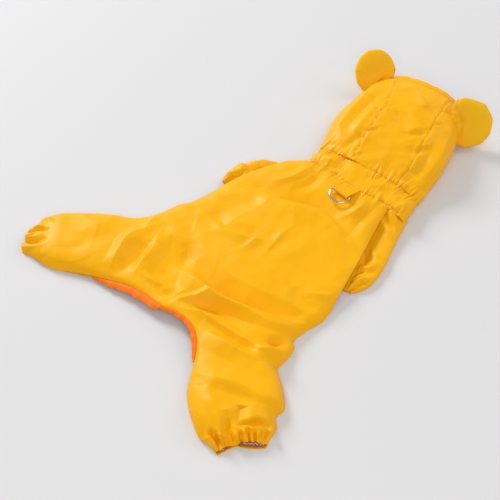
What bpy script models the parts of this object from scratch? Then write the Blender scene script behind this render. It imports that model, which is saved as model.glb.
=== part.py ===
"""Four-legged dog raincoat with a hood and round ears, laid out back side up.

The coat lies on the plane z = 0. +X runs along its spine toward the hood, +Y to the coat's left.
Every cloth piece is a wall. Lengths are in millimetres here and become metres in add_mesh().
"""
import math

import bpy
import numpy as np
from mathutils.geometry import delaunay_2d_cdt

MM = 0.001

# ---------------------------------------------------------------- driving dimensions, mm
CLOTH = 1.2          # wall of one layer of cloth
SEAM_GAP = 0.3       # space left between neighbouring pieces
HALF_GAP = SEAM_GAP / 2
NECK_X = 151.0       # seam between the body and the neck band, on the neck's middle
NECK_TURN = 6.0      # degrees that this seam is turned in plan
HOOD_X = 178.0       # seam between the neck band and the hood
NECK_Y = -8.0        # middle of the neck
NECK_HALF = 63.0     # half width of the flattened neck
NECK_TOP = 20.0      # height of the neck on its seams
SIDE_RISE = 8.0      # height at which the neck and the hood are widest
SHOULDER = 26.0      # reach of the rounded shoulder inside a panel's edge
BACK_MESH = 11.5     # spacing of the back panel's points
UNDER_INSET = 0.5    # how far the under panels stay inside the back's outline
BELLY_END = -76.0    # edge of the belly under the tail
CUFF_CASING = 10.0   # length of an elastic casing
CUFF_FRILL = 4.0     # length of the frill past the elastic
CUFF_DRAW = 0.86     # width of a cuff at its elastic, as a share of the leg's
CUFF_WAVES = 6       # gathers round a cuff
ELASTIC_WALL = 1.0
SLEEVE_CASING = 8.0
SLEEVE_FRILL = 3.5
LAP = 10.0           # how far each belly half passes the middle
HEM_WIDTH = 8.0      # hood hem band
HOOD_UNDER = 20.0    # cloth of the hood that turns in under it
BINDING = 8.5        # width of the tail binding
BINDING_WALL = 1.6
BINDING_FALL = 2.0   # how far its free edge hangs lower than its seam
HEM_WALL = 1.8
EAR_RADIUS = 27.0
EAR_SEAM = 0.55      # the sewn edge, from the disc's middle, as a share of the radius
EAR_HALF = 6.5       # half thickness of a filled ear
EAR_SEGMENTS = 18
TAB_WIDTH = 19.2
TAB_WALL = 1.0
TAB_MOUTH = 134.5    # where the tab's layers meet again behind the bar
TAB_FLAT = 141.0     # from here to the seam the layers lie on each other
TAB_X = 128.5        # the ring's bar inside the tab's loop
TAB_Y = -14.0
BAR_Z = 22.9
WIRE = 1.1           # radius of the ring's wire
BAR_PLAY = 0.35      # running clearance of the bar in the tab's loop
RING_INNER = 21.0    # inner width of the D
RING_REACH = 13.0    # from the bar's middle to the far side's middle
RING_CORNER = 1.8    # bend of the wire at the bar's ends
RING_DROOP = 8.0     # degrees that the ring leans down at rest

# Outline of the back piece, which takes in the upper halves of the rear legs.
# Rows are x, y and the height of the edge above the surface.
FLANK_LEFT = [(130, 69, 10.6), (111, 77, 11.0), (90, 83, 11.0), (70, 87, 11.0), (52, 89, 10.0),
              (31, 94, 4.5), (12, 98, 1.8), (-1, 104, 1.8)]
LEG_LEFT_OUT = [(-26, 108, 1.8), (-47, 119, 1.8), (-59, 135, 1.8), (-74, 152, 1.8), (-90, 166, 1.8),
                (-106, 176, 1.8)]
LEG_LEFT_IN = [(-155, 128, 1.8), (-147, 113, 1.8), (-138, 99, 2.4), (-129, 83, 4.6)]
TAIL = [(-120, 65, 6.6), (-111, 46, 8.2), (-106, 25, 9.4), (-103, 3, 10.4), (-98, -14, 12.2),
        (-97, -33, 13.2), (-103, -49, 12.6), (-112, -60, 10.6)]
LEG_RIGHT_IN = [(-122, -68, 7.6), (-137, -79, 3.6), (-148, -88, 1.8), (-157, -101, 1.8),
                (-165, -117, 1.8), (-170, -131, 1.8)]
LEG_RIGHT_OUT = [(-112, -171, 1.8), (-105, -162, 1.8), (-94, -161, 1.8), (-84, -151, 1.8),
                 (-76, -137, 1.8), (-62, -127, 1.8), (-45, -121, 1.8), (-36, -112, 1.8),
                 (-16, -110, 1.8), (6, -112, 1.8)]
FLANK_RIGHT = [(24, -107, 3.6), (43, -100, 9.6), (70, -90, 11.0), (97, -79, 11.0), (126, -67, 11.6)]
NECK_RIGHT = -51.0   # where the back's right edge meets the neck band, from the neck's middle

# Corners where the belly and the legs' undersides meet: at the hip's edge and at the tail.
HIP = {"left": (-1.0, 104.0), "right": (6.0, -112.0)}
CROTCH = {"left": (-88.0, 46.0), "right": (-86.0, -54.0)}

# Height of the laid cloth away from its edges: x, y, z, reach.
CROWN = [(140, -10, 20.0, 34), (80, 0, 18.0, 46), (20, 0, 15.5, 46), (-60, 4, 13.5, 40),
         (-96, -8, 12.5, 26), (-40, 76, 13.0, 34), (-88, 122, 14.0, 34), (-136, 152, 16.0, 26),
         (-42, -86, 14.0, 34), (-100, -112, 16.0, 34), (-136, -146, 18.0, 26),
         (40, 70, 12.0, 34), (40, -78, 13.0, 34)]

# The largest folds of the back: height (below 0 a trough), half width, then the line's points.
FOLDS = [
    ("seat_trough", -5.0, 9.0, [(-43, 32), (-45, -4), (-45, -26), (-36, -57), (-26, -86)]),
    ("seat_ridge", 5.0, 8.0, [(-62, 22), (-60, -10), (-58, -34), (-50, -62), (-40, -92)]),
    ("tail_ridge", 4.0, 8.0, [(-92, -12), (-84, -36), (-79, -60), (-72, -86)]),
    ("back_trough", -4.0, 9.0, [(78, 58), (86, 34), (99, 4), (106, -15), (103, -42)]),
    ("left_hip_ridge", 5.0, 9.0, [(-22, 98), (-46, 100), (-74, 96)]),
    ("left_hip_trough", -4.0, 9.0, [(-16, 78), (-44, 46), (-76, 24)]),
    ("right_hip_ridge", 4.0, 8.0, [(-78, -98), (-62, -110), (-50, -118)]),
    ("right_leg_ridge", 4.0, 9.0, [(-86, -112), (-112, -134), (-132, -152)]),
]

# Ends of the rear legs: middle of the cuff's seam, direction in degrees, half width, height.
CUFFS = {
    "rear_left": dict(x=-140.5, y=158.5, turn=137.0, half=23.0, height=17.0),
    "rear_right": dict(x=-145.0, y=-154.5, turn=235.0, half=26.0, height=19.0),
}

# Stations of a cuff: share of its casing, width as a share of the leg's, depth of the gathers.
CASING = [(0.0, 1.0, 0.0), (0.3, 1.03, 0.03), (0.7, 0.9, 0.03), (1.0, CUFF_DRAW, 0.02)]
FRILL = (0.98, 0.06)    # the frill's edge: width as a share of the leg's, depth of the gathers

# Front sleeves: middle of the root and of the cuff's seam, then half widths and height.
SLEEVES = {
    "left": dict(root=(126, 58), cuff=(70, 93), root_half=12.0, half=19.0, cuff_half=15.5, height=7.6),
    "right": dict(root=(147, -60), cuff=(66, -99), root_half=19.0, half=21.0, cuff_half=16.5, height=7.6),
}

SLEEVE_HEAD = 6.0       # the armhole starts this far in front of the sleeve's root
SLEEVE_PAST = 24.0      # and ends this far past its cuff's seam
SLEEVE_RISE = 2.4       # height at which a sleeve is widest

# Hood sections: axis point x, y, turn in degrees, half widths, top, seams' distances from the axis.
HOOD = [
    dict(x=178, y=-8, turn=8, left=63, right=63, top=22, seam_left=13, seam_right=-36),
    dict(x=187, y=-6, turn=8, left=67, right=67, top=28, seam_left=15, seam_right=-36),
    dict(x=206, y=0, turn=9, left=70, right=69, top=35, seam_left=17, seam_right=-38),
    dict(x=232, y=8, turn=9, left=68, right=70, top=40, seam_left=19, seam_right=-37),
    dict(x=262, y=18, turn=10, left=64, right=67, top=42, seam_left=24, seam_right=-36),
    dict(x=290, y=28, turn=11, left=59, right=61, top=40, seam_left=30, seam_right=-35),
    dict(x=311, y=35, turn=12, left=55, right=49, top=36, seam_left=34, seam_right=-34),
    dict(x=319, y=37, turn=12, left=49, right=43, top=33, seam_left=34, seam_right=-33),
]

# Ears: middle of the disc, then the way its face looks: azimuth and elevation in degrees,
# and the direction in degrees, in the disc's plane, of the edge that is sewn to the hood.
EARS = {
    "left": dict(x=304, y=102, z=26, azimuth=-132, elevation=44, base=-52),
    "right": dict(x=317.3, y=-36.4, z=26, azimuth=-132, elevation=44, base=184),
}

YELLOW = (0.95, 0.43, 0.012)
EAR_YELLOW = (0.83, 0.36, 0.015)
ORANGE = (1.0, 0.19, 0.008)
BROWN = (0.30, 0.13, 0.03)
STEEL = (0.75, 0.73, 0.70)


# ---------------------------------------------------------------- scene and materials
def clear_scene():
    for obj in list(bpy.data.objects):
        bpy.data.objects.remove(obj, do_unlink=True)


def material(name, colour, roughness, metallic=0.0):
    mat = bpy.data.materials.new(name)
    mat.use_nodes = True
    shader = mat.node_tree.nodes["Principled BSDF"]
    shader.inputs["Base Color"].default_value = (*colour, 1.0)
    shader.inputs["Roughness"].default_value = roughness
    shader.inputs["Metallic"].default_value = metallic
    return mat


def cloth_material(name):
    if name.startswith("ear"):
        return material(name, EAR_YELLOW, 0.55)
    if name.startswith("tail_binding"):
        return material(name, ORANGE, 0.5)
    if name.startswith("elastic"):
        return material(name, BROWN, 0.8)
    return material(name, YELLOW, 0.45)


# ---------------------------------------------------------------- walls from surfaces
def vertex_normals(points, faces):
    normals = np.zeros_like(points)
    for face in faces:
        a, b, c = points[face[0]], points[face[1]], points[face[-1]]
        normal = np.cross(b - a, c - a)
        for corner in face:
            normals[corner] += normal
    return normals / np.maximum(np.linalg.norm(normals, axis=1, keepdims=True), 1e-9)


def add_mesh(name, points, faces, mat=None, location=(0, 0, 0)):
    mesh = bpy.data.meshes.new(name)
    mesh.from_pydata((np.asarray(points) * MM).tolist(), [], faces)
    mesh.materials.append(mat or cloth_material(name))
    mesh.shade_smooth()
    mesh.set_sharp_from_angle(angle=math.radians(50))
    obj = bpy.data.objects.new(name, mesh)
    obj.location = [value * MM for value in location]
    bpy.context.scene.collection.objects.link(obj)
    return obj


def add_wall(name, points, faces, wall=CLOTH, floor=0.0, flat=()):
    """Close a surface into a wall: a copy of it `wall` behind, and strips round its open edges.

    flat holds pairs of point numbers and a direction that those points' wall has no part of, so
    that a seam's end stays in its own plane. No point of the copy goes below floor.
    """
    points = np.asarray(points, dtype=float)
    normals = vertex_normals(points, faces)
    for members, direction in flat:
        way = np.asarray(direction, dtype=float)
        way /= np.linalg.norm(way)
        for number in members:
            level = normals[number] - way * (normals[number] @ way)
            normals[number] = level / np.linalg.norm(level)
    behind = points - normals * wall
    behind[:, 2] = np.maximum(behind[:, 2], floor)
    count = len(points)
    directed = {(face[i], face[(i + 1) % len(face)]) for face in faces for i in range(len(face))}
    solid = [tuple(face) for face in faces]
    solid += [tuple(number + count for number in reversed(face)) for face in faces]
    for start, end in sorted(directed):
        if (end, start) not in directed:
            solid.append((end, start, start + count, end + count))
    return add_mesh(name, np.vstack([points, behind]), solid)


def grid_faces(rows, columns, closed=False):
    """Quads of a grid of points stored row after row, facing the side that add_wall calls outer."""
    faces = []
    for row in range(rows - 1):
        for column in range(columns if closed else columns - 1):
            after = (column + 1) % columns
            faces.append((row * columns + column, row * columns + after,
                          (row + 1) * columns + after, (row + 1) * columns + column))
    return faces


# ---------------------------------------------------------------- curves and sections
def smooth_line(rows, step):
    """Catmull-Rom curve through the rows, with a point about every step."""
    rows = np.asarray(rows, dtype=float)
    padded = np.vstack([2 * rows[0] - rows[1], rows, 2 * rows[-1] - rows[-2]])
    line = []
    for a, b, c, d in zip(padded, padded[1:], padded[2:], padded[3:]):
        pieces = max(1, round(np.linalg.norm((c - b)[:2]) / step))
        for t in np.arange(pieces) / pieces:
            line.append(0.5 * (2 * b + (c - a) * t + (2 * a - 5 * b + 4 * c - d) * t ** 2
                               + (3 * b - a - 3 * c + d) * t ** 3))
    line.append(rows[-1])
    return np.array(line)


def arch(fraction, rise, top, power=2.4):
    """Height of a puffed section at a fraction, -1 to 1, of its half width."""
    inside = np.clip(1 - np.abs(fraction) ** power, 0, 1)
    return rise + (top - rise) * inside ** (1 / power)


def loaf(half, top, rise, upper=14, lower=6):
    """Closed section of a tube that lies on a surface, as offsets to its left and heights.

    It runs over the top from left to right, then back along the flat underside.
    """
    loop = []
    for step in range(upper + 1):
        fraction = math.sin(math.pi * (0.5 - step / upper))
        loop.append((fraction * half, float(arch(fraction, rise, top))))
    flat_half = half - rise * 0.8
    for step in range(lower):
        loop.append((flat_half * (2 * step / (lower - 1) - 1), 0.0))
    return loop


def place(section, x, y, turn):
    """Section points in space: it stands across a line that runs at turn degrees in plan."""
    angle = math.radians(turn)
    return [(x - side * math.sin(angle), y + side * math.cos(angle), height)
            for side, height in section]


def heading(turn):
    return (math.cos(math.radians(turn)), math.sin(math.radians(turn)), 0.0)


def add_tube(name, sections, first_way, last_way, wall=CLOTH, **options):
    columns = len(sections[0])
    points = [point for section in sections for point in section]
    faces = grid_faces(len(sections), columns, closed=True)
    last = len(points) - columns
    flat = [(range(columns), first_way), (range(last, last + columns), last_way)]
    return add_wall(name, points, faces, wall=wall, flat=flat, **options)


# ---------------------------------------------------------------- the back
def cuff_edge(cuff, steps=6):
    """The cuff seam's upper half, from the leg's right side to its left, on the back's outline."""
    way = np.array(heading(cuff["turn"])[:2])
    across = np.array([-way[1], way[0]])
    middle = np.array([cuff["x"], cuff["y"]]) - way * HALF_GAP
    rows = []
    for step in range(steps + 1):
        fraction = math.sin(math.pi * (step / steps - 0.5))
        x, y = middle + across * fraction * cuff["half"]
        rows.append((x, y, float(arch(fraction, 3.0, cuff["height"]))))
    return rows


def neck_edge():
    """The back's front edge, on the neck band's seam, from the coat's right to its left."""
    offsets = np.linspace(NECK_RIGHT, NECK_HALF - 0.5, 9)
    line = [(offset, float(arch(offset / NECK_HALF, SIDE_RISE, NECK_TOP))) for offset in offsets]
    return place(line, NECK_X - HALF_GAP, NECK_Y, NECK_TURN)


def back_outline(step):
    """Closed outline of the back piece as named stretches of points, anticlockwise from above."""
    neck = neck_edge()
    left_cuff = cuff_edge(CUFFS["rear_left"])
    right_cuff = cuff_edge(CUFFS["rear_right"])
    return {
        "neck": np.array(neck),
        "left": smooth_line([neck[-1]] + FLANK_LEFT + LEG_LEFT_OUT + [left_cuff[0]], step),
        "left_cuff": np.array(left_cuff),
        "rear": smooth_line([left_cuff[-1]] + LEG_LEFT_IN + TAIL + LEG_RIGHT_IN + [right_cuff[0]], step),
        "right_cuff": np.array(right_cuff),
        "right": smooth_line([right_cuff[-1]] + LEG_RIGHT_OUT + FLANK_RIGHT + [neck[0]], step),
    }


def joined(stretches):
    return np.vstack([stretch[:-1] for stretch in stretches.values()])


def distance_to_line(points, line, closed=False):
    """Distance of each point to a line in plan, and how far along the line, 0 to 1, it lies."""
    starts = line[:, :2] if closed else line[:-1, :2]
    ends = np.roll(line[:, :2], -1, axis=0) if closed else line[1:, :2]
    best = np.full(len(points), 1e9)
    place_along = np.zeros(len(points))
    for number, (start, end) in enumerate(zip(starts, ends)):
        run = end - start
        share = np.clip(((points - start) @ run) / (run @ run), 0, 1)
        gap = np.linalg.norm(points - start - share[:, None] * run, axis=1)
        nearer = gap < best
        best[nearer] = gap[nearer]
        place_along[nearer] = (number + share[nearer]) / len(starts)
    return best, place_along


def crown_height(points):
    total = np.zeros(len(points))
    weights = np.full(len(points), 1e-9)
    for x, y, height, reach in CROWN:
        weight = np.exp(-((points[:, 0] - x) ** 2 + (points[:, 1] - y) ** 2) / reach ** 2)
        total += weight * height
        weights += weight
    return total / weights


def fold_height(points):
    total = np.zeros(len(points))
    for _, height, half_width, line in FOLDS:
        gap, along = distance_to_line(points, smooth_line(line, 8.0))
        total += height * np.exp(-(gap / half_width) ** 2) * np.sin(np.pi * np.clip(along, 0.08, 0.92)) ** 0.5
    return total


def back_height(points, outline):
    """Height of the back over plan points: edge height at the edge, crown and folds inside."""
    gap, _ = distance_to_line(points, outline, closed=True)
    squared = ((points[:, None, :] - outline[None, :, :2]) ** 2).sum(axis=2) + 1e-6
    weights = squared ** -2.0
    edge = (weights * outline[:, 2]).sum(axis=1) / weights.sum(axis=1)
    inside = np.clip(gap / SHOULDER, 0, 1)
    rise = np.sqrt(1 - (1 - inside) ** 2)
    return edge * (1 - rise) + crown_height(points) * rise + fold_height(points) * inside


def inner_points(outline, spacing, rings=(1.6, 5.5)):
    """Plan points inside an outline: rings that follow it, then a staggered field."""
    centre_line = outline[:, :2]
    ahead = np.roll(centre_line, -1, axis=0) - np.roll(centre_line, 1, axis=0)
    inward = np.stack([-ahead[:, 1], ahead[:, 0]], axis=1)
    inward /= np.linalg.norm(inward, axis=1, keepdims=True)
    chosen = []
    for ring in rings:
        ring_points = centre_line + inward * ring
        gap, _ = distance_to_line(ring_points, outline, closed=True)
        chosen.append(ring_points[gap > ring * 0.93])
    low, high = centre_line.min(axis=0), centre_line.max(axis=0)
    rows = int((high[1] - low[1]) / (spacing * 0.866)) + 1
    field = np.array([(low[0] + spacing * (column + 0.5 * (row % 2)), low[1] + spacing * 0.866 * row)
                      for row in range(rows) for column in range(int((high[0] - low[0]) / spacing) + 1)])
    gap, _ = distance_to_line(field, outline, closed=True)
    chosen.append(field[(gap > rings[-1] + spacing * 0.45) & inside_outline(field, centre_line)])
    return np.vstack(chosen)


def inside_outline(points, outline):
    inside = np.zeros(len(points), dtype=bool)
    for (x0, y0), (x1, y1) in zip(outline, np.roll(outline, -1, axis=0)):
        crosses = (y0 > points[:, 1]) != (y1 > points[:, 1])
        slope = (x1 - x0) / (y1 - y0) if y1 != y0 else 0.0
        inside ^= crosses & (points[:, 0] < x0 + slope * (points[:, 1] - y0))
    return inside


def triangulate(outline, inner, steps=()):
    """Triangles, facing up, over an outline's points followed by the points inside it."""
    plan = np.vstack([outline[:, :2], inner]) if len(inner) else outline[:, :2]
    count = len(outline)
    edges = [(i, (i + 1) % count) for i in range(count)] + list(steps)
    vertices, _, faces, *_ = delaunay_2d_cdt([tuple(p) for p in plan.tolist()], edges,
                                             [list(range(count))], 1, 1e-5)
    corners = np.array([tuple(v) for v in vertices])
    faces = [tuple(face) for face in faces]
    turned = []
    for a, b, c in faces:
        run, rise = corners[b] - corners[a], corners[c] - corners[a]
        turned.append((a, b, c) if run[0] * rise[1] - run[1] * rise[0] > 0 else (a, c, b))
    return corners, turned


def add_back():
    stretches = back_outline(9.0)
    outline = joined(stretches)
    corners, faces = triangulate(outline, inner_points(outline, BACK_MESH))
    heights = back_height(corners, outline)
    heights[:len(outline)] = outline[:, 2]
    points = np.column_stack([corners, heights])
    flat = []
    first = 0
    for name, stretch in stretches.items():
        members = range(first, first + len(stretch))
        if name == "neck":
            flat.append((members, heading(NECK_TURN)))
        if name.endswith("cuff"):
            flat.append((members, heading(CUFFS["rear_" + name.split("_")[0]]["turn"])))
        first += len(stretch) - 1
    return add_wall("back_panel", points, faces, floor=CLOTH + SEAM_GAP, flat=flat)


# ---------------------------------------------------------------- flat panels underneath
def add_plate(name, outline, steps=(), lift=None):
    """A panel that lies flat. steps are pairs of outline points joined by a fold line."""
    outline = np.asarray(outline, dtype=float)[:, :2]
    corners, faces = triangulate(outline, np.empty((0, 2)), steps)
    low = np.array([lift(*corner) if lift else 0.0 for corner in corners])
    points = np.column_stack([corners, low + CLOTH])
    count = len(points)
    solid = add_wall(name, points, faces)
    for number in range(count):
        solid.data.vertices[count + number].co = (*(corners[number] * MM), low[number] * MM)
    return solid


def between(line, start, end):
    """The stretch of a line between its points nearest two plan points."""
    first = int(np.argmin(np.linalg.norm(line[:, :2] - start, axis=1)))
    last = int(np.argmin(np.linalg.norm(line[:, :2] - end, axis=1)))
    return line[first:last + 1, :2]


def sleeve_frame(side):
    """A sleeve's root, its cuff's seam, the way it runs, and the way toward the coat's middle."""
    root = np.array(SLEEVES[side]["root"], dtype=float)
    cuff = np.array(SLEEVES[side]["cuff"], dtype=float)
    way = (cuff - root) / np.linalg.norm(cuff - root)
    inward = np.array([way[1], -way[0]])
    if inward[1] * root[1] > 0:
        inward = -inward
    return root, cuff, way, inward


def armhole(side):
    """Line from the front to the back that cuts the belly away just inside a sleeve."""
    root, cuff, way, inward = sleeve_frame(side)
    reach = SLEEVES[side]["half"] - SEAM_GAP
    line = [root + inward * reach - way * SLEEVE_HEAD, cuff + inward * reach + way * SLEEVE_PAST]
    return [(neck_front(line[0][1]), line[0][1]), *line]


def neck_front(y):
    """Where the under panels end at the neck band."""
    return NECK_X - HALF_GAP - 0.1 - (y - NECK_Y) * math.tan(math.radians(NECK_TURN))


def inset(line, amount):
    """A stretch of the outline, which runs anticlockwise, moved toward the inside."""
    ahead = np.gradient(line, axis=0)
    ahead /= np.linalg.norm(ahead, axis=1, keepdims=True)
    return line + np.column_stack([-ahead[:, 1], ahead[:, 0]]) * amount


def lap_height(x, y):
    """The right belly half steps up on to the left one where they lap."""
    return CLOTH + SEAM_GAP if y > -LAP - 2.0 else 0.0


def under_edge(stretch, start, end):
    """The edge of an under panel, just inside a stretch of the back's outline."""
    return inset(between(stretch, start, end), UNDER_INSET)


def add_under_panels():
    stretches = back_outline(12.0)
    left, rear, right = stretches["left"], stretches["rear"], stretches["right"]
    left_hip, right_hip = np.array(HIP["left"]), np.array(HIP["right"])
    left_crotch, right_crotch = np.array(CROTCH["left"]), np.array(CROTCH["right"])
    add_plate("belly_left", [(neck_front(-LAP), -LAP), *armhole("left"),
                             *under_edge(left, FLANK_LEFT[5][:2], left_hip), left_crotch,
                             (BELLY_END, 16), (BELLY_END, -LAP)])
    lap_line, low_line = -LAP - 1.0, -LAP - 4.0
    outline = [(neck_front(LAP), LAP), (BELLY_END, LAP), (BELLY_END, lap_line), (BELLY_END, low_line),
               right_crotch, *under_edge(right, right_hip, FLANK_RIGHT[0][:2]),
               *armhole("right")[::-1], (neck_front(low_line), low_line), (neck_front(lap_line), lap_line)]
    last = len(outline) - 1
    add_plate("belly_right", outline, steps=[(2, last), (3, last - 1)], lift=lap_height)
    left_cuff, right_cuff = stretches["left_cuff"][:, :2], stretches["right_cuff"][:, :2]
    apart = {"left": np.array([-SEAM_GAP, 0.4]), "right": np.array([-SEAM_GAP, -0.4])}
    add_plate("leg_under_left", [left_hip + apart["left"],
                                 *under_edge(left, left_hip, left[-1, :2])[1:-1],
                                 left_cuff[0], left_cuff[-1],
                                 *under_edge(rear, rear[0, :2], LEG_LEFT_IN[-1][:2])[1:],
                                 left_crotch + apart["left"]])
    add_plate("leg_under_right", [*under_edge(right, right[0, :2], right_hip)[1:-1],
                                  right_hip + apart["right"], right_crotch + apart["right"],
                                  *under_edge(rear, LEG_RIGHT_IN[0][:2], rear[-1, :2])[:-1],
                                  right_cuff[0], right_cuff[-1]])


# ---------------------------------------------------------------- tail binding
def add_tail_binding():
    """A strip that goes on from the back's edge round the tail cut-out and droops a little."""
    path = smooth_line([LEG_LEFT_IN[-1]] + TAIL + [LEG_RIGHT_IN[0]], 8.0)
    ahead = np.gradient(path[:, :2], axis=0)
    ahead /= np.linalg.norm(ahead, axis=1, keepdims=True)
    outward = np.column_stack([ahead[:, 1], -ahead[:, 0], np.zeros(len(path))])
    up = np.array([0, 0, 1.0])
    start = SEAM_GAP * 1.5
    rows = [path + outward * reach - up * fall
            for reach, fall in ((BINDING, BINDING_FALL), (BINDING * 0.55, BINDING_FALL * 0.25), (start, 0.1))]
    add_wall("tail_binding", np.vstack(rows), grid_faces(3, len(path)), wall=BINDING_WALL)


# ---------------------------------------------------------------- sleeves and cuffs
def ruffled(section, waves, depth, shrink=1.0):
    """A tube section drawn in by elastic, with waves round it; its underside stays flat."""
    count = len(section)
    centre = max(height for _, height in section) / 2
    loop = []
    for number, (side, height) in enumerate(section):
        scale = shrink * (1 + depth * math.cos(2 * math.pi * waves * number / count))
        lifted = centre + (height - centre) * scale
        loop.append((side * scale, lifted if height > 0.5 else 0.0))
    return loop


def add_cuff(name, x, y, turn, half, height, casing=CUFF_CASING, frill=CUFF_FRILL, rise=3.0,
             columns=(18, 7)):
    """An elastic casing with its frill past the elastic."""
    way = np.array(heading(turn))
    stations = [(max(HALF_GAP, share * casing), width, depth) for share, width, depth in CASING]
    stations.append((casing + frill, *FRILL))
    sections = []
    for along, width, depth in stations:
        section = ruffled(loaf(half, height, rise, *columns), CUFF_WAVES, depth, width)
        sections.append(place(section, x + way[0] * along, y + way[1] * along, turn))
    add_tube("cuff_" + name, sections, way, way)


def add_elastic(name, x, y, turn, half, height):
    """The brown elastic that lines a rear cuff and shows in its mouth."""
    way = np.array(heading(turn))
    inside = []
    for share, room in ((0.45, 3.4), (0.9, 4.2)):
        along = CUFF_CASING * share
        section = loaf(half * CUFF_DRAW - room, height * CUFF_DRAW - room * 1.3, 1.2, 12, 5)
        raised = [(side, level + CLOTH + SEAM_GAP) for side, level in section]
        inside.append(place(raised, x + way[0] * along, y + way[1] * along, turn))
    add_tube("elastic_" + name, inside, way, way, wall=ELASTIC_WALL, floor=CLOTH + SEAM_GAP)


def add_sleeve(side):
    size = SLEEVES[side]
    root, cuff, way, _ = sleeve_frame(side)
    turn = math.degrees(math.atan2(way[1], way[0]))
    length = np.linalg.norm(cuff - root) - HALF_GAP
    stations = [(0.0, size["root_half"]), (0.3, size["half"]), (0.62, size["half"]),
                (0.86, size["half"] - 1.5), (1.0, size["cuff_half"])]
    sections = []
    for share, half in stations:
        x, y = root + way * (share * length)
        sections.append(place(loaf(half, size["height"], SLEEVE_RISE, 12, 5), x, y, turn))
    add_tube("sleeve_" + side, sections, heading(turn), heading(turn))
    add_cuff("sleeve_" + side, *cuff, turn, size["cuff_half"], size["height"] + 0.4,
             casing=SLEEVE_CASING, frill=SLEEVE_FRILL, rise=SLEEVE_RISE, columns=(13, 5))


# ---------------------------------------------------------------- neck band and hood
def add_neck_band():
    """The band between the two rows of elastic, a little fuller between them."""
    front = HOOD[0]
    sections = []
    for share, puff in ((0.0, 0.0), (0.2, 2.0), (0.5, 1.2), (0.8, 2.0), (1.0, 0.0)):
        x = NECK_X + HALF_GAP + share * (HOOD_X - NECK_X - SEAM_GAP)
        top = NECK_TOP + share * (front["top"] - NECK_TOP) + puff
        rise = SIDE_RISE + share * (hood_rise(front["top"]) - SIDE_RISE)
        turn = NECK_TURN + share * (front["turn"] - NECK_TURN)
        sections.append(place(loaf(NECK_HALF + puff, top, rise, 22, 8), x, NECK_Y, turn))
    add_tube("neck_band", sections, heading(NECK_TURN), heading(front["turn"]))


def hood_rise(top):
    """Height at which a hood section of this top is widest."""
    return SIDE_RISE + (top - NECK_TOP) * 0.3


def hood_top(section, offset):
    half = section["left"] if offset > 0 else section["right"]
    return float(arch(offset / half, hood_rise(section["top"]), section["top"]))


def hood_line(section, start, end, count):
    """Points over the top of a hood section, from one offset to another, closer near its side."""
    offsets = [start + (end - start) * math.sin(0.5 * math.pi * step / (count - 1))
               for step in range(count)]
    return [(offset, hood_top(section, offset)) for offset in offsets]


def hood_side_line(section, sign):
    """A side panel's section: from its seam down to the surface and in under the hood."""
    seam = section["seam_left"] if sign > 0 else section["seam_right"]
    half = section["left"] if sign > 0 else section["right"]
    rise = hood_rise(section["top"])
    foot = half - rise * 0.8
    line = hood_line(section, seam + sign * HALF_GAP, sign * half, 7)
    line += [(sign * (half - rise * 0.24), rise * 0.35), (sign * foot, 0.0),
             (sign * (foot - HOOD_UNDER), 0.0)]
    return line[::-1] if sign > 0 else line


def add_hood():
    panels = {"hood_side_left": [], "hood_centre": [], "hood_side_right": []}
    for number, section in enumerate(HOOD):
        spot = [section["x"], section["y"], section["turn"]]
        if number == 0:
            spot[0] += HALF_GAP
        left, right = section["seam_left"] - HALF_GAP, section["seam_right"] + HALF_GAP
        over = [(offset, hood_top(section, offset)) for offset in np.linspace(left, right, 7)]
        panels["hood_centre"].append(place(over, *spot))
        panels["hood_side_left"].append(place(hood_side_line(section, 1), *spot))
        panels["hood_side_right"].append(place(hood_side_line(section, -1), *spot))
    turn = math.radians(HOOD[0]["turn"])
    across = (-math.sin(turn), math.cos(turn), 0)
    for name, rows in panels.items():
        points = np.array([point for row in rows for point in row])
        columns = len(rows[0])
        last = len(points) - columns
        flat = [(range(columns), heading(HOOD[0]["turn"])),
                (range(last, len(points)), heading(HOOD[-1]["turn"]))]
        if name != "hood_side_left":
            flat.append((range(0, len(points), columns), across))
        if name != "hood_side_right":
            flat.append((range(columns - 1, len(points), columns), across))
        add_wall(name, points, grid_faces(len(rows), columns), flat=flat)
    add_hood_hem()


def add_hood_hem():
    """The hem band goes on from the hood's front edge, over the top and under both sides."""
    front = HOOD[-1]
    line = hood_side_line(front, 1)[:-1]
    line += [(offset, hood_top(front, offset))
             for offset in np.linspace(front["seam_left"], front["seam_right"], 7)]
    line += hood_side_line(front, -1)[1:]
    way = np.array(heading(front["turn"]))
    rows = []
    for along, shrink in ((SEAM_GAP, 1.0), (HEM_WIDTH * 0.5, 1.01), (HEM_WIDTH, 0.985)):
        row = [(side * shrink, height * shrink) for side, height in line]
        rows.append(place(row, front["x"] + way[0] * along, front["y"] + way[1] * along,
                          front["turn"]))
    points = np.array([point for row in rows for point in row])
    columns = len(line)
    flat = [(range(columns), way), (range(len(points) - columns, len(points)), way)]
    add_wall("hood_hem", points, grid_faces(3, columns), wall=HEM_WALL, flat=flat)


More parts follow.
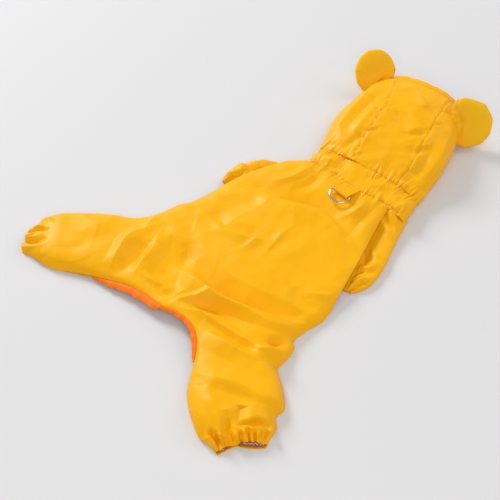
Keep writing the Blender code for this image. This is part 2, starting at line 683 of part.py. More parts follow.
# ---------------------------------------------------------------- ears
def add_ear(side):
    """Two dished layers sewn at their rim, pressed flat where they are set into the hood."""
    ear = EARS[side]
    azimuth, elevation = math.radians(ear["azimuth"]), math.radians(ear["elevation"])
    face = np.array([math.cos(azimuth) * math.cos(elevation), math.sin(azimuth) * math.cos(elevation),
                     math.sin(elevation)])
    level = np.cross((0, 0, 1), face)
    level /= np.linalg.norm(level)
    up = np.cross(face, level)
    middle = np.array([ear["x"], ear["y"], ear["z"]])
    base = math.radians(ear["base"])
    segments = EAR_SEGMENTS
    for layer, sign in (("front", 1), ("back", -1)):
        points = [middle + face * sign * EAR_HALF]
        for share in (0.5, 0.84, 1.0):
            for segment in range(segments):
                angle = 2 * math.pi * segment / segments * sign
                reach = EAR_RADIUS * share
                toward = math.cos(angle - base) * share
                if toward > EAR_SEAM:
                    reach *= EAR_SEAM / toward
                bulge = EAR_HALF * (1 - share ** 2) ** 0.6 + HALF_GAP
                points.append(middle + face * sign * bulge
                              + (level * math.cos(angle) + up * math.sin(angle)) * reach)
        faces = [(0, 1 + number, 1 + (number + 1) % segments) for number in range(segments)]
        for ring in range(2):
            first = 1 + ring * segments
            for number in range(segments):
                after = (number + 1) % segments
                faces.append((first + number, first + segments + number,
                              first + segments + after, first + after))
        rim = range(1 + 2 * segments, 1 + 3 * segments)
        add_wall(f"ear_{side}_{layer}", points, faces, flat=[(rim, face)])


# ---------------------------------------------------------------- leash tab and ring
def add_leash_tab():
    """A strip folded round the ring's bar, both ends in the neck band's seam."""
    reach = WIRE + BAR_PLAY + TAB_WALL
    root = NECK_X - SEAM_GAP * 2.5
    low, high = BAR_Z - reach, BAR_Z - reach + 2 * TAB_WALL + 0.4
    path = [(root, low), (TAB_FLAT, low), (TAB_MOUTH, low)]
    path += [(TAB_X - reach * math.cos(angle), BAR_Z + reach * math.sin(angle))
             for angle in np.linspace(-math.pi / 2, math.pi / 2, 9)]
    path += [(TAB_MOUTH, BAR_Z + reach * 0.55), (TAB_FLAT, high + 0.2), (root, high)]
    points = [(x, TAB_Y + side * TAB_WIDTH / 2, z) for x, z in path for side in (1, 0, -1)]
    add_wall("leash_tab", points, grid_faces(len(path), 3), wall=TAB_WALL)


def ring_path():
    """Middle line of the D, its bar on the Y axis and its round side toward -X."""
    half = RING_INNER / 2 + WIRE
    corner = [(RING_CORNER * (math.sin(angle) - 1), half + RING_CORNER * (math.cos(angle) - 1))
              for angle in np.linspace(math.pi / 2, 0, 4)]
    straight = -RING_CORNER - 1.0
    bow = [(straight - (RING_REACH + straight) * math.sin(angle), half * math.cos(angle))
           for angle in np.linspace(0, math.pi, 15)]
    return corner + bow + [(x, -y) for x, y in corner[::-1]] + [(0.0, 0.0)]


def add_ring():
    path = np.array([(x, y, 0.0) for x, y in ring_path()])
    ahead = np.roll(path, -1, axis=0) - np.roll(path, 1, axis=0)
    ahead /= np.linalg.norm(ahead, axis=1, keepdims=True)
    up = np.array([0, 0, 1.0])
    sides = 8
    points = []
    for spot, way in zip(path, ahead):
        across = np.array([way[1], -way[0], 0.0])
        for side in range(sides):
            angle = 2 * math.pi * side / sides
            points.append(spot + WIRE * (across * math.cos(angle) + up * math.sin(angle)))
    count = len(path)
    faces = []
    for row in range(count):
        for column in range(sides):
            after, ahead_row = (column + 1) % sides, (row + 1) % count
            faces.append((row * sides + column, ahead_row * sides + column,
                          ahead_row * sides + after, row * sides + after))
    ring = add_mesh("d_ring", points, faces, material("d_ring", STEEL, 0.25, 1.0),
                    location=(TAB_X, TAB_Y, BAR_Z))
    ring.rotation_euler = (0, -math.radians(RING_DROOP), 0)


clear_scene()
add_back()
add_under_panels()
add_tail_binding()
for side_name in SLEEVES:
    add_sleeve(side_name)
for cuff_name, cuff_size in CUFFS.items():
    add_cuff(cuff_name, **cuff_size)
    add_elastic(cuff_name, **cuff_size)
add_neck_band()
add_hood()
for side_name in EARS:
    add_ear(side_name)
add_leash_tab()
add_ring()
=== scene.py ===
"""Looks of a dog raincoat that lies back side up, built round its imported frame.

Tables and sizes are in millimetres, in the frame's axes: +X along the spine toward the hood, +Y to
the coat's left, +Z up from the surface that it lies on. add_mesh() turns them into metres.
"""
import math

import bpy
import numpy as np
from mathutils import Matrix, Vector, noise
from mathutils.bvhtree import BVHTree
from mathutils.geometry import delaunay_2d_cdt


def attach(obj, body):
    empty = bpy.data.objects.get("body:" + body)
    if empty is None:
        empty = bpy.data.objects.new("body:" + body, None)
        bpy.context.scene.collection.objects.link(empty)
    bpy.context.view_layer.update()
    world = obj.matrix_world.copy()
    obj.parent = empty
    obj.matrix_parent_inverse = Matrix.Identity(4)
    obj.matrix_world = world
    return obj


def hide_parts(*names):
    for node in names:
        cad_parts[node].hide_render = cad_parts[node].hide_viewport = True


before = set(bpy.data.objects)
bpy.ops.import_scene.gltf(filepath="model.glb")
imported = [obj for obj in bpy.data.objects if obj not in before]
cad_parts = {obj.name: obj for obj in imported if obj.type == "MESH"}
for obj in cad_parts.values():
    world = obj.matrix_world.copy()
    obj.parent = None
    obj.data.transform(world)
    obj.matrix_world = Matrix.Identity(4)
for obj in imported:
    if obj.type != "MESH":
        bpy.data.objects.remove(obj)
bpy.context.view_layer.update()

MM = 0.001
NOISE_SEED = 1       # without a seed noise_vector() follows the clock, and no two runs are the same

# ---------------------------------------------------------------- sizes of the coat, mm
CLOTH = 0.8          # shown thickness of one layer of cloth
SEAM = 0.12          # space between the pieces that meet at a seam
NECK_X = 151.0       # seam between the body and the neck band, on the neck's middle
NECK_Y = -8.0
NECK_TURN = 6.0      # degrees that this seam is turned in plan
NECK_SAG = 5.5       # how far the leash tab pulls it toward the tail
NECK_HALF = 63.0     # half width of the back at the neck
NECK_RIGHT = -51.0   # where the back's right edge meets the neck band
HOOD_X = 178.0       # seam between the neck band and the hood
HOOD_TURN = 8.0
NECK_LEFT_END = (62.0, 66.0)     # reach of the neck band's left end, at the body and at the hood
NECK_RIGHT_END = (71.0, 63.0)
NECK_TOP = 20.0
NECK_PUFF = 0.9      # swell of the neck band between its seams
SIDE_RISE = 8.0      # height at which the neck and the hood are widest
SHOULDER = 26.0      # reach of the rounded shoulder inside a panel's edge
ALLOWANCE = 3.0      # how far a seam allowance runs on under the next piece
TUCK = 1.05          # how much lower it lies there
FLOOR_EDGE = 1.8     # edge height of the cloth that reaches the surface, in the tables
EDGE_DROP = 0.5      # such an edge is drawn this much lower, on to the panel under it
HEM_WIDTH = 8.0
HOOD_UNDER = 20.0    # how far the hood's sides are turned in under it
EAR_RADIUS = 27.0
EAR_HALF = 6.5
EAR_WAY = (-132, 44)    # azimuth and elevation that the ears face
TAB_WIDTH = 19.2
TAB_WALL = 1.0
RING_BAR = (128.5, -14.0, 22.9)
WIRE = 1.1
RING_HALF = 11.6     # half the ring's outer width
RING_REACH = 13.0
RING_BEND = 1.8
RING_DROOP = -8.0    # degrees

# Outline of the back piece: x, y and the height of the edge.
FLANK_LEFT = [(130, 69, 10.6), (111, 77, 11.0), (90, 83, 11.0), (70, 87, 11.0), (52, 89, 10.0),
              (31, 94, 4.5), (12, 98, 1.8), (-1, 104, 1.8)]
LEG_LEFT_OUT = [(-26, 108, 1.8), (-47, 119, 1.8), (-59, 135, 1.8), (-74, 152, 1.8),
                (-90, 167, 1.8), (-101, 176.5, 1.8), (-111, 183, 1.8)]
LEG_LEFT_IN = [(-155, 128, 1.8), (-147, 113, 1.8), (-138, 99, 2.4), (-129, 83, 4.6)]
TAIL = [(-120, 65, 6.6), (-111, 46, 8.2), (-106, 25, 9.4), (-103, 3, 10.4), (-98, -14, 12.2),
        (-97, -33, 13.2), (-103, -49, 12.6), (-112, -60, 10.6)]
LEG_RIGHT_IN = [(-122, -68, 7.6), (-137, -79, 3.6), (-148, -88, 1.8), (-157, -101, 1.8),
                (-165, -117, 1.8), (-170, -131, 1.8)]
LEG_RIGHT_OUT = [(-112, -171, 1.8), (-105, -162, 1.8), (-94, -161, 1.8), (-84, -151, 1.8),
                 (-76, -138.5, 1.8), (-71, -129.5, 1.8), (-67.5, -124.2, 1.8),
                 (-57, -122.5, 1.8), (-44, -120, 1.8), (-37.5, -115.5, 1.8),
                 (-33.5, -110.5, 1.8), (-16, -110, 1.8), (6, -112, 1.8)]
FLANK_RIGHT = [(24, -107, 3.6), (43, -100, 10.4), (70, -90, 12.0), (97, -79, 12.0),
               (126, -67, 12.2)]

# A flank hangs clear of the sleeves, and is turned under, above this height and between these x.
HANG_HEIGHT = 8.4
HANG_X = (30.0, 137.0)
EDGE_ROLL = [(0.6, 0.35), (0.8, 1.0), (0.3, 1.7), (-2.0, 2.1), (-5.0, 2.2), (-9.0, 2.2)]

# Height of the laid cloth away from its edges: x, y, z, reach.
CROWN = [(140, -10, 20.0, 34), (80, 0, 18.0, 46), (20, 0, 15.5, 46), (-60, 4, 13.5, 40),
         (-96, -8, 12.5, 26), (-40, 76, 13.0, 34), (-88, 122, 14.0, 34), (-136, 152, 16.0, 26),
         (-42, -86, 14.0, 34), (-100, -112, 16.0, 34), (-136, -146, 18.0, 26),
         (40, 70, 12.0, 34), (40, -78, 13.0, 34)]

# Hood sections: x, y, turn, half widths left and right, top, seams' distances from the axis.
HOOD = [(178, -8, 8, 66, 63, 22, 23, -36), (187, -6, 8, 69, 65, 25, 25, -36),
        (206, 0, 9, 73, 66, 31, 26, -38), (232, 8, 9, 75, 68, 38, 25, -37),
        (262, 18, 10, 70, 66, 41, 24.5, -36), (290, 28, 11, 63, 61, 40, 30, -35),
        (311, 35, 12, 56, 49, 36, 34, -34), (319, 37, 12, 49, 43, 33, 34, -33)]
# Ears: middle, turn of the seam in the disc's plane, width, height and the seam's distance.
EARS = {"left": ((303, 101, 25), -52, 0.90, 1.04, 0.8),
        "right": ((314, -33, 26), 184, 1.04, 1.05, 0.66)}
# Corners of the ears' outlines, in degrees, in the disc's plane.
EAR_CORNERS = {"left": (77, 112, 140, 172, 205, 238), "right": (100, 47, 8, -30, -58, -95)}

# ---------------------------------------------------------------- folds
# Rows: height (below 0 a trough), half widths to the line's left and right, sharpness, line.
FOLD_STRENGTH = 1.7
BACK_FOLDS = [
    # across the seat, from the left hip to the right flank
    (-5.0, 13, 7, 1.5, [(-43, 34), (-48, -4), (-48, -26), (-39, -57), (-29, -86), (-5, -112)]),
    (4.5, 6, 9, 1.4, [(-62, 26), (-61, -8), (-55, -38), (-44, -66), (-33, -90), (-16, -106)]),
    # from the tail's edge to the right hip
    (3.4, 4, 9, 1.2, [(-101, -4), (-92, -3), (-80, -9), (-70, -16), (-58, -19)]),
    (-3.6, 8, 6, 1.5, [(-90, -2), (-78, -24), (-64, -48), (-56, -74)]),
    (4.2, 5, 9, 1.3, [(-98, -8), (-90, -20), (-82, -38), (-79, -60), (-74, -85), (-66, -108)]),
    (-4.0, 8, 6, 1.5, [(-86, -40), (-84, -60), (-80, -84), (-72, -108)]),
    (3.0, 6, 10, 1.5, [(-96, -48), (-93, -68), (-88, -92), (-80, -116)]),
    # over the shoulders and the back
    (-4.4, 14, 4.5, 1.7, [(78, 58), (82, 34), (96, 6), (104, -15), (102, -38), (96, -58)]),
    (2.4, 7, 14, 1.5, [(64, 50), (68, 26), (84, 0), (90, -22), (88, -44)]),
    (-2.2, 7, 5, 1.4, [(16, 60), (12, 38), (22, 14), (33, -4)]),
    (1.4, 4, 7, 1.4, [(8, 52), (5, 34), (16, 10), (26, -8)]),
    (0.8, 2.6, 5, 1.1, [(-8, 7), (6, 3), (20, 3), (28, 10)]),
    (0.8, 4, 2.6, 1.1, [(14, -18), (30, -14), (44, -11), (60, -10)]),
    (0.9, 2.6, 4, 1.1, [(10, -78), (18, -92), (34, -102)]),
    # left hip and the tail's puckers
    (1.2, 5, 3, 1.1, [(-26, 104), (-40, 99), (-54, 92)]),
    (3.0, 13, 6, 1.2, [(-54, 93), (-74, 95), (-94, 86), (-116, 73)]),
    (-3.2, 5, 13, 1.5, [(-62, 73), (-78, 69), (-92, 67), (-110, 64)]),
    (1.6, 11, 4, 1.3, [(-50, 76), (-66, 66), (-86, 58), (-104, 50)]),
    (-2.8, 8, 26, 1.7, [(-24, 54), (-52, 32), (-76, 16), (-92, 12)]),
    (1.6, 3, 4, 1.2, [(-93, 44), (-91, 32), (-89, 20)]),
    (-1.6, 3, 4, 1.3, [(-76, 7), (-88, 9), (-99, 12)]),
    # right hip and leg
    (3.6, 5, 8, 1.3, [(-78, -98), (-66, -109), (-54, -120)]),
    (-3.4, 6, 5, 1.3, [(-60, -100), (-52, -108), (-42, -113)]),
    (-2.6, 10, 7, 1.5, [(6, -66), (2, -84), (6, -106)]),
    (1.5, 9, 4, 1.3, [(-129, -90), (-114, -117), (-106, -141), (-99, -156)]),
    (-1.5, 4, 11, 1.5, [(-135, -99), (-122, -126), (-113, -148)]),
    (0.6, 4, 6, 1.3, [(-118, -96), (-134, -104), (-142, -118), (-146, -134)]),
    # left leg
    (-0.35, 9, 5, 1.3, [(-122, 118), (-134, 128), (-146, 140)]),
    (0.35, 8, 10, 1.6, [(-86, 118), (-104, 134), (-120, 146)]),
    (0.45, 3, 5, 1.2, [(-80, 138), (-96, 122), (-112, 112)]),
    (-0.35, 8, 6, 1.5, [(-110, 112), (-126, 122), (-138, 134)]),
    # in front, at the neck
    (1.8, 5, 6, 1.3, [(140, 46), (128, 40), (112, 42), (96, 50)]),
    (-1.8, 6, 5, 1.4, [(142, 32), (130, 24), (116, 22), (104, 28)]),
    (1.6, 4, 6, 1.3, [(146, -34), (134, -40), (120, -40), (108, -34)]),
    (-2.0, 6, 6, 1.4, [(144, -52), (128, -50), (110, -54), (92, -58)]),
]
NECK_FOLDS = [
    (-2.0, 5, 5, 1.4, [(152, 44), (152, 28), (158, 17), (166, 20), (174, 28)]),
    (1.0, 4, 4, 1.3, [(158, 50), (160, 38), (163, 30), (170, 34)]),
    (-2.0, 6, 6, 1.5, [(164, -34), (166, -44), (164, -54)]),
    (2.0, 4, 5, 1.3, [(156, -62), (166, -66), (176, -66)]),
]
HOOD_FOLDS = [
    # on the crown
    (-2.6, 9, 9, 1.6, [(262, 32), (252, 18), (246, 4), (238, -4)]),
    (1.8, 12, 12, 1.8, [(196, 36), (226, 48), (256, 62)]),
    (-2.6, 5, 4, 1.4, [(238, -9), (247, -15), (256, -21)]),
    (-1.8, 4, 4, 1.4, [(228, -18), (226, -30), (236, -34)]),
    (1.2, 3, 5, 1.2, [(300, 32), (288, 14), (284, -4)]),
    # along the sides
    (2.2, 6, 8, 1.5, [(196, 62), (220, 66), (250, 70), (276, 70)]),
    (-2.0, 7, 6, 1.5, [(206, 50), (232, 54), (262, 60)]),
    (2.2, 7, 6, 1.5, [(206, -56), (232, -54), (262, -42), (284, -32)]),
    (-2.0, 6, 7, 1.5, [(196, -50), (216, -48), (240, -42)]),
    (-1.8, 4, 5, 1.3, [(190, -64), (210, -68), (236, -62)]),
    (-1.6, 5, 5, 1.4, [(184, 34), (196, 30), (208, 32)]),
]
# Puckered seams of the hood: distance from the neck along the seam, side (1 left), depth.
PUCKERS = {
    "left": [(5, -1, 0.9), (16, 1, 0.7), (28, 1, 1.2), (41, -1, 1.3), (57, 1, 0.8), (69, 1, 1.3),
             (81, -1, 0.7), (94, 1, 1.1), (108, -1, 0.8), (121, 1, 0.8), (133, -1, 0.7)],
    "right": [(7, 1, 0.9), (20, -1, 0.8), (38, 1, 1.1), (52, -1, 0.8), (66, 1, 1.5),
              (80, 1, 1.5), (92, -1, 0.9), (106, 1, 0.8), (120, -1, 0.9), (131, 1, 0.7)],
}
# Gathers at the neck band's two seams: pitch, depth, reach toward the hood and the tail, the row's
# valley, where the row is calm and how far, seed.
NECK_GATHERS = [(4.8, 2.5, (8, 7), 0.7, (64, 16), 1.3), (5.0, 2.7, (9, 9), 0.6, (78, 14), 4.1)]

# ---------------------------------------------------------------- rear cuffs
CUFFS = {"rear_left": (-140.5, 158.5, 137.0), "rear_right": (-145.0, -154.5, 235.0)}  # x, y, turn
CUFF_TOP = {"rear_left": 11.5, "rear_right": 11.0}
CUFF_RISE = 3.0      # height at which a cuff is widest
PAST_END = 2.0       # a gather whose line starts further out than this comes from the mouth
CASING_SEAM = 1.5    # the casing's own seam, past the end of the leg
LEG_SLOPE = 24.0     # length over which the leg comes down to that seam
# How far a cuff reaches to its left and right, at the seam and at the mouth.
CUFF_REACH = {"rear_left": ((24.0, 33.0), (14.5, 21.0)), "rear_right": ((32.0, 29.0), (25.0, 20.0))}
PLEAT_DEPTH = {"rear_left": 1.3, "rear_right": 2.1}      # as a share of the tables' depths
FINE_PLEATS = {"rear_left": 0.22, "rear_right": 0.5}     # depth of the fine pleats between them
# Gathers from the mouth up the leg: side and distance past the leg's end of the line's points,
# then depth and half width.
CUFF_PLEATS = {
    "rear_right": [
        ([(-20.5, 11.5), (-23.0, 6.0), (-27.0, 0.0)], -1.4, 1.2),
        ([(-17.5, 11.0), (-18.1, 5.2), (-21.7, 0.2), (-23.9, -7.0)], -3.4, 1.5),
        ([(-14.2, 9.5), (-15.8, 6.0), (-18.0, 2.0), (-19.0, -5.0)], -2.8, 1.3),
        ([(-11.0, 9.0), (-12.2, 5.0), (-14.0, -1.0)], -2.2, 1.2),
        ([(-7.9, 8.0), (-8.4, 0.0), (-7.1, -9.6), (-7.1, -21.4)], -2.8, 3.0),
        ([(-4.6, 7.6), (-5.2, 3.0), (-5.0, -1.0)], -1.3, 1.0),
        ([(-1.8, 7.2), (-1.9, 3.0)], -0.9, 0.9),
        ([(0.8, -5.0), (3.7, -15.8), (6.9, -24.6)], -3.2, 3.6),
        ([(0.1, -3.6), (3.9, -5.7), (8.4, -6.6), (13.4, -7.2), (19.3, -8.0), (24.7, -5.7),
          (27.3, -3.6)], -2.0, 1.6),
        ([(2.9, 6.6), (2.9, 3.2), (2.4, -2.5)], -2.4, 1.4),
        ([(6.3, 6.8), (6.3, 3.0), (5.8, 0.0)], -1.4, 1.1),
        ([(10.4, 7.6), (10.1, 2.2), (9.3, -4.6)], -3.0, 1.4),
        ([(15.2, 8.6), (15.0, 3.0), (14.6, -2.5)], -2.4, 1.4),
        ([(18.6, 9.0), (18.4, 3.5)], -1.5, 1.1),
        ([(21.4, 9.4), (21.4, 4.0), (21.4, -1.5)], -2.4, 1.4),
        ([(23.8, 9.7), (25.5, 2.2), (28.0, -2.0)], -2.4, 1.4),
        ([(26.5, 0.5), (31.0, -1.6), (36.0, -2.0)], 2.2, 2.0),
    ],
    "rear_left": [
        ([(-19.8, 13.5), (-19.4, 9.3), (-22.0, 1.0), (-25.4, -3.3), (-21.2, -8.5),
          (-13.9, -12.2)], -1.2, 1.6),
        ([(-14.5, 12.0), (-16.5, 3.0), (-17.5, -4.0)], 1.2, 3.0),
        ([(-14.5, 14.6), (-15.0, 9.0), (-14.5, 5.5)], -1.1, 1.0),
        ([(-10.7, 15.0), (-11.4, 4.9), (-9.0, -2.7), (-7.0, -8.5)], -2.4, 1.6),
        ([(-2.6, 16.6), (-4.2, 12.0), (-5.6, 7.4)], -2.0, 1.1),
        ([(-1.5, 14.0), (-1.5, 4.0), (-4.0, -10.0)], 1.0, 2.6),
        ([(1.4, 17.4), (4.6, 11.8), (6.6, 3.7), (4.9, -2.5), (1.8, -5.5)], -2.8, 2.2),
        ([(6.5, 18.5), (8.5, 14.0), (9.5, 10.0)], -1.1, 1.0),
        ([(10.0, 15.0), (12.5, 6.0), (12.5, -6.0)], 0.9, 3.2),
    ],
}
# Mouths: side, how far the upper and the lower lip reach past the leg, and the upper lip's height.
MOUTHS = {
    "rear_right": [(-26, 10.0, 11.5, 2.4), (-19, 11.6, 13.9, 4.4), (-14, 9.8, 11.8, 5.2),
                   (-9, 8.4, 9.4, 4.2), (-5, 7.6, 7.8, 2.4), (-1, 7.0, 7.2, 2.4),
                   (3, 6.6, 9.0, 6.4), (10, 7.6, 10.9, 7.6), (17, 8.9, 12.0, 7.2),
                   (23, 9.8, 12.4, 5.6), (26, 9.0, 10.4, 3.0)],
    "rear_left": [(-24, 11.0, 11.6, 2.6), (-20, 13.9, 14.5, 3.6), (-15, 15.2, 16.0, 5.0),
                  (-7, 16.6, 17.3, 6.4), (0, 17.6, 18.3, 6.6), (8, 19.0, 19.7, 5.4),
                  (12, 18.2, 18.9, 4.4), (15, 15.4, 16.0, 2.8)],
}

# ---------------------------------------------------------------- front sleeves
# From root to mouth: the edge away from the coat, the edge under it, and the height.
SLEEVE_ROWS = {
    "left": [(133, 67, 118, 49, 7.4), (124, 81, 108, 54, 7.6), (112, 93, 98, 60, 7.6),
             (100, 101, 88, 66, 7.6), (88, 105, 78, 73, 7.6), (76, 106, 68, 80, 7.4),
             (67, 104.5, 61, 86, 6.6), (60.5, 102, 57, 92.5, 5.0)],
    "right": [(166, -78, 154, -38, 15.0), (153, -82.5, 139, -45, 12.2), (140, -87, 126, -49, 9.4),
              (123, -94, 112, -55, 7.6), (106, -102, 96, -63, 7.6), (88, -109, 80, -73, 7.6),
              (72, -112.5, 66, -82, 7.4), (59, -110.5, 55, -89, 6.6), (50, -106, 47, -96, 5.0)],
}
SLEEVE_SPLIT = 0.84  # where along a sleeve its cuff's casing starts
SLEEVE_PUFF = {"left": 2.6, "right": 1.6}    # how much higher a sleeve stands clear of the back
SLEEVE_DIP = {"left": 0.8, "right": 3.4}     # how much lower it lies against the back's edge
SLEEVE_FOLDS = [
    # right sleeve, from its root to its cuff
    (1.8, 3, 5, 1.3, [(160, -56), (149, -70), (142, -86)]),
    (-1.8, 4, 3, 1.4, [(148, -58), (144, -68), (141, -82)]),
    (1.4, 3, 4, 1.3, [(140, -62), (136, -74), (131, -90)]),
    (1.0, 2, 4, 1.2, [(106, -78), (102, -88), (106, -102)]),
    (-1.8, 2.2, 3, 1.3, [(99, -76), (94, -84), (87, -92)]),
    (-1.5, 2, 3, 1.3, [(105, -78), (97, -88), (91, -96)]),
    (1.7, 2.4, 3.4, 1.3, [(82, -82), (79, -91), (84, -98), (93, -98)]),
    (-1.5, 4, 5, 1.5, [(75, -90), (78, -99), (88, -104)]),
    (1.6, 1.8, 2.6, 1.3, [(54, -100), (63, -101), (73, -105)]),
    (1.3, 1.8, 2.4, 1.3, [(55, -97), (68, -97), (82, -101)]),
    (-1.0, 1.6, 1.8, 1.3, [(53, -103), (60, -106), (69, -110)]),
    # left sleeve
    (-1.9, 2.4, 3.2, 1.3, [(96, 102), (93, 95), (90, 86)]),
    (1.2, 3, 3, 1.4, [(89, 104), (86, 96), (84, 88)]),
    (-2.2, 2.6, 2.4, 1.3, [(57, 94), (70, 93), (84, 91)]),
    (1.5, 2.4, 2.4, 1.3, [(59, 98), (68, 98.5), (80, 98)]),
    (-1.2, 1.6, 1.6, 1.3, [(60, 101), (66, 101), (73, 103)]),
    (1.0, 1.8, 2.2, 1.3, [(104, 99), (103, 91), (100, 84)]),
]

# ---------------------------------------------------------------- tail binding and underside
# Tail binding: share along the cut-out from the left leg to the right one, then the tape's width.
TAPE_WIDTH = [(0.0, 1.4), (0.06, 4.2), (0.16, 7.4), (0.34, 8.4), (0.45, 8.2), (0.492, 7.6),
              (0.515, 3.6), (0.58, 4.0), (0.70, 4.8), (0.83, 5.8), (0.92, 5.0), (1.0, 2.0)]
TAPE_KINK = 0.503    # share where the tape is bent over
TAPE_WALL = 1.1
UNDER_WALL = 0.7
LAP = 10.0           # how far each belly half passes the middle
BELLY_END = -76.0    # edge of the belly under the tail
CROTCH = {"left": (-88.0, 46.0), "right": (-86.0, -54.0)}
# The belly is cut away along each sleeve: the sleeve's root and cuff, and the cut's distance.
ARMHOLES = {"left": ((126.0, 58.0), (70.0, 93.0), 19.2),
            "right": ((147.0, -60.0), (66.0, -99.0), 21.2)}
# Creases of the belly, then of the legs, that lift off the surface.
UNDER_FOLDS = [
    (1.6, 3, 5, 1.3, [(-10, 88), (-40, 82), (-66, 60)]),
    (1.5, 4, 3, 1.3, [(0, -98), (-34, -92), (-62, -70)]),
    (1.2, 3, 4, 1.4, [(104, 30), (60, 36), (10, 42), (-28, 40)]),
    (1.0, 3, 3, 1.3, [(66, 22), (48, 44), (36, 66)]),
    (1.3, 4, 3, 1.4, [(92, -34), (50, -44), (12, -60), (-30, -66)]),
    (0.9, 2.5, 3, 1.3, [(36, -28), (20, -46), (14, -70)]),
    (1.4, 3, 5, 1.4, [(-70, 84), (-96, 110), (-124, 140)]),
    (1.0, 3, 3, 1.3, [(-76, 132), (-98, 116), (-112, 94)]),
    (1.4, 5, 3, 1.4, [(-76, -84), (-106, -112), (-132, -138)]),
    (1.0, 3, 3, 1.3, [(-72, -122), (-96, -110), (-116, -90)]),
]

YELLOW = (1.0, 0.455, 0.004)
# Painted light: the ears are the coat's own cloth, drawn a lighter yellow so that, standing up,
# they look as bright as the cloth that lies flat.
EAR_LIT_YELLOW = (1.0, 0.50, 0.010)
ORANGE = (1.0, 0.20, 0.010)
BROWN = (0.42, 0.16, 0.03)
STEEL = (0.78, 0.74, 0.66)
# Thread of the stitch rows: the stitches are real, but their dark amber stands in for the shade in
# their holes and in the puckers beside them, which is painted shade.
THREAD_SHADE_AMBER = (0.50, 0.17, 0.006)
WHITE = (0.9, 0.82, 0.78)
PAPER = (0.71, 0.708, 0.715)


# ---------------------------------------------------------------- curves, sections and fields
def unit(vectors):
    return vectors / np.maximum(np.linalg.norm(vectors, axis=-1, keepdims=True), 1e-9)


def bell(values, width, power=2):
    return np.exp(-np.abs(values / width) ** power)


def heading(turn):
    return np.array([math.cos(math.radians(turn)), math.sin(math.radians(turn)), 0.0])


def rightward(ahead):
    """Unit vectors in plan to the right of the given directions."""
    return unit(np.column_stack([ahead[:, 1], -ahead[:, 0], np.zeros(len(ahead))]))


def arc_of(line):
    """Distance travelled along a line, at each of its points."""
    return np.concatenate([[0], np.cumsum(np.linalg.norm(np.diff(line, axis=0), axis=1))])


def smooth_line(rows, step):
    """Catmull-Rom curve through the rows, with a point about every step in plan."""
    rows = np.asarray(rows, dtype=float)
    padded = np.vstack([2 * rows[0] - rows[1], rows, 2 * rows[-1] - rows[-2]])
    line = []
    for a, b, c, d in zip(padded, padded[1:], padded[2:], padded[3:]):
        pieces = max(1, round(np.linalg.norm((c - b)[:2]) / step))
        t = (np.arange(pieces) / pieces)[:, None]
        line.append(0.5 * (2 * b + (c - a) * t + (2 * a - 5 * b + 4 * c - d) * t ** 2
                           + (3 * b - a - 3 * c + d) * t ** 3))
    return np.vstack([*line, rows[-1]])


def arch(fraction, rise, top, power=2.4):
    """Height of a puffed section at a fraction, -1 to 1, of its half width."""
    inside = np.clip(1 - np.abs(fraction) ** power, 0, 1)
    return rise + (top - rise) * inside ** (1 / power)


def place(section, x, y, turn):
    """Section points in space: it stands across a line that runs at turn degrees in plan."""
    section = np.asarray(section, dtype=float)
    ahead = heading(turn)
    return np.column_stack([(x, y) + section[:, :1] * (-ahead[1], ahead[0]), section[:, 1]])


def loaf(half, top, rise, upper, lower):
    """Closed section of a tube on a surface: over the top from its left, back underneath."""
    fractions = np.sin(np.pi * (0.5 - np.arange(upper + 1) / upper))
    over = np.column_stack([fractions * half, arch(fractions, rise, top)])
    foot = half - rise * 0.8
    corner = np.linspace(0, np.pi / 2, 5)[1:]
    right = np.column_stack([-foot - (half - foot) * np.cos(corner), rise * (1 - np.sin(corner))])
    under = np.column_stack([np.linspace(-foot, foot, lower + 2)[1:-1], np.zeros(lower)])
    return np.vstack([over, right, under, right[::-1] * (-1, 1)])


def nearest_on(line, points):
    """Signed distance to a line in plan, positive on its left, the arc there, and its length."""
    line, plan = np.asarray(line, dtype=float)[:, :2], points[:, :2]
    best, side, arc = np.full(len(plan), 1e9), np.ones(len(plan)), np.zeros(len(plan))
    travelled = 0.0
    for start, run in zip(line, np.diff(line, axis=0)):
        length = np.linalg.norm(run)
        offset = plan - start
        share = np.clip(offset @ run / length ** 2, 0, 1)
        gap = np.linalg.norm(offset - share[:, None] * run, axis=1)
        left_of = run[0] * offset[:, 1] - run[1] * offset[:, 0] >= 0
        nearer = gap < best
        best[nearer] = gap[nearer]
        arc[nearer] = travelled + share[nearer] * length
        side[nearer] = np.where(left_of[nearer], 1, -1)
        travelled += length
    return best * side, arc, travelled


def fold_relief(points, folds, strength=FOLD_STRENGTH):
    """Height that the listed folds add: flat-sided roofs, or rounded swells."""
    total = np.zeros(len(points))
    for height, left, right, sharp, rows in folds:
        line = smooth_line(rows, 4.0)
        reach = 3.2 * max(left, right)
        near = np.all((points[:, :2] > line.min(axis=0) - reach)
                      & (points[:, :2] < line.max(axis=0) + reach), axis=1)
        gap, arc, length = nearest_on(line, points[near])
        across = gap / np.where(gap > 0, left, right)
        roof = np.clip(1.05 - np.sqrt(across ** 2 + 0.003) / 1.45, 0, None)
        flat = min(1.0, max(0.35, (2.0 - sharp) / 0.6))
        taper = np.sin(np.pi * np.clip(arc / length, 0.05, 0.95)) ** 0.6
        total[near] += (strength * height * taper
                        * (flat * roof + (1 - flat) * bell(across, 1, 1.7)))
    return total


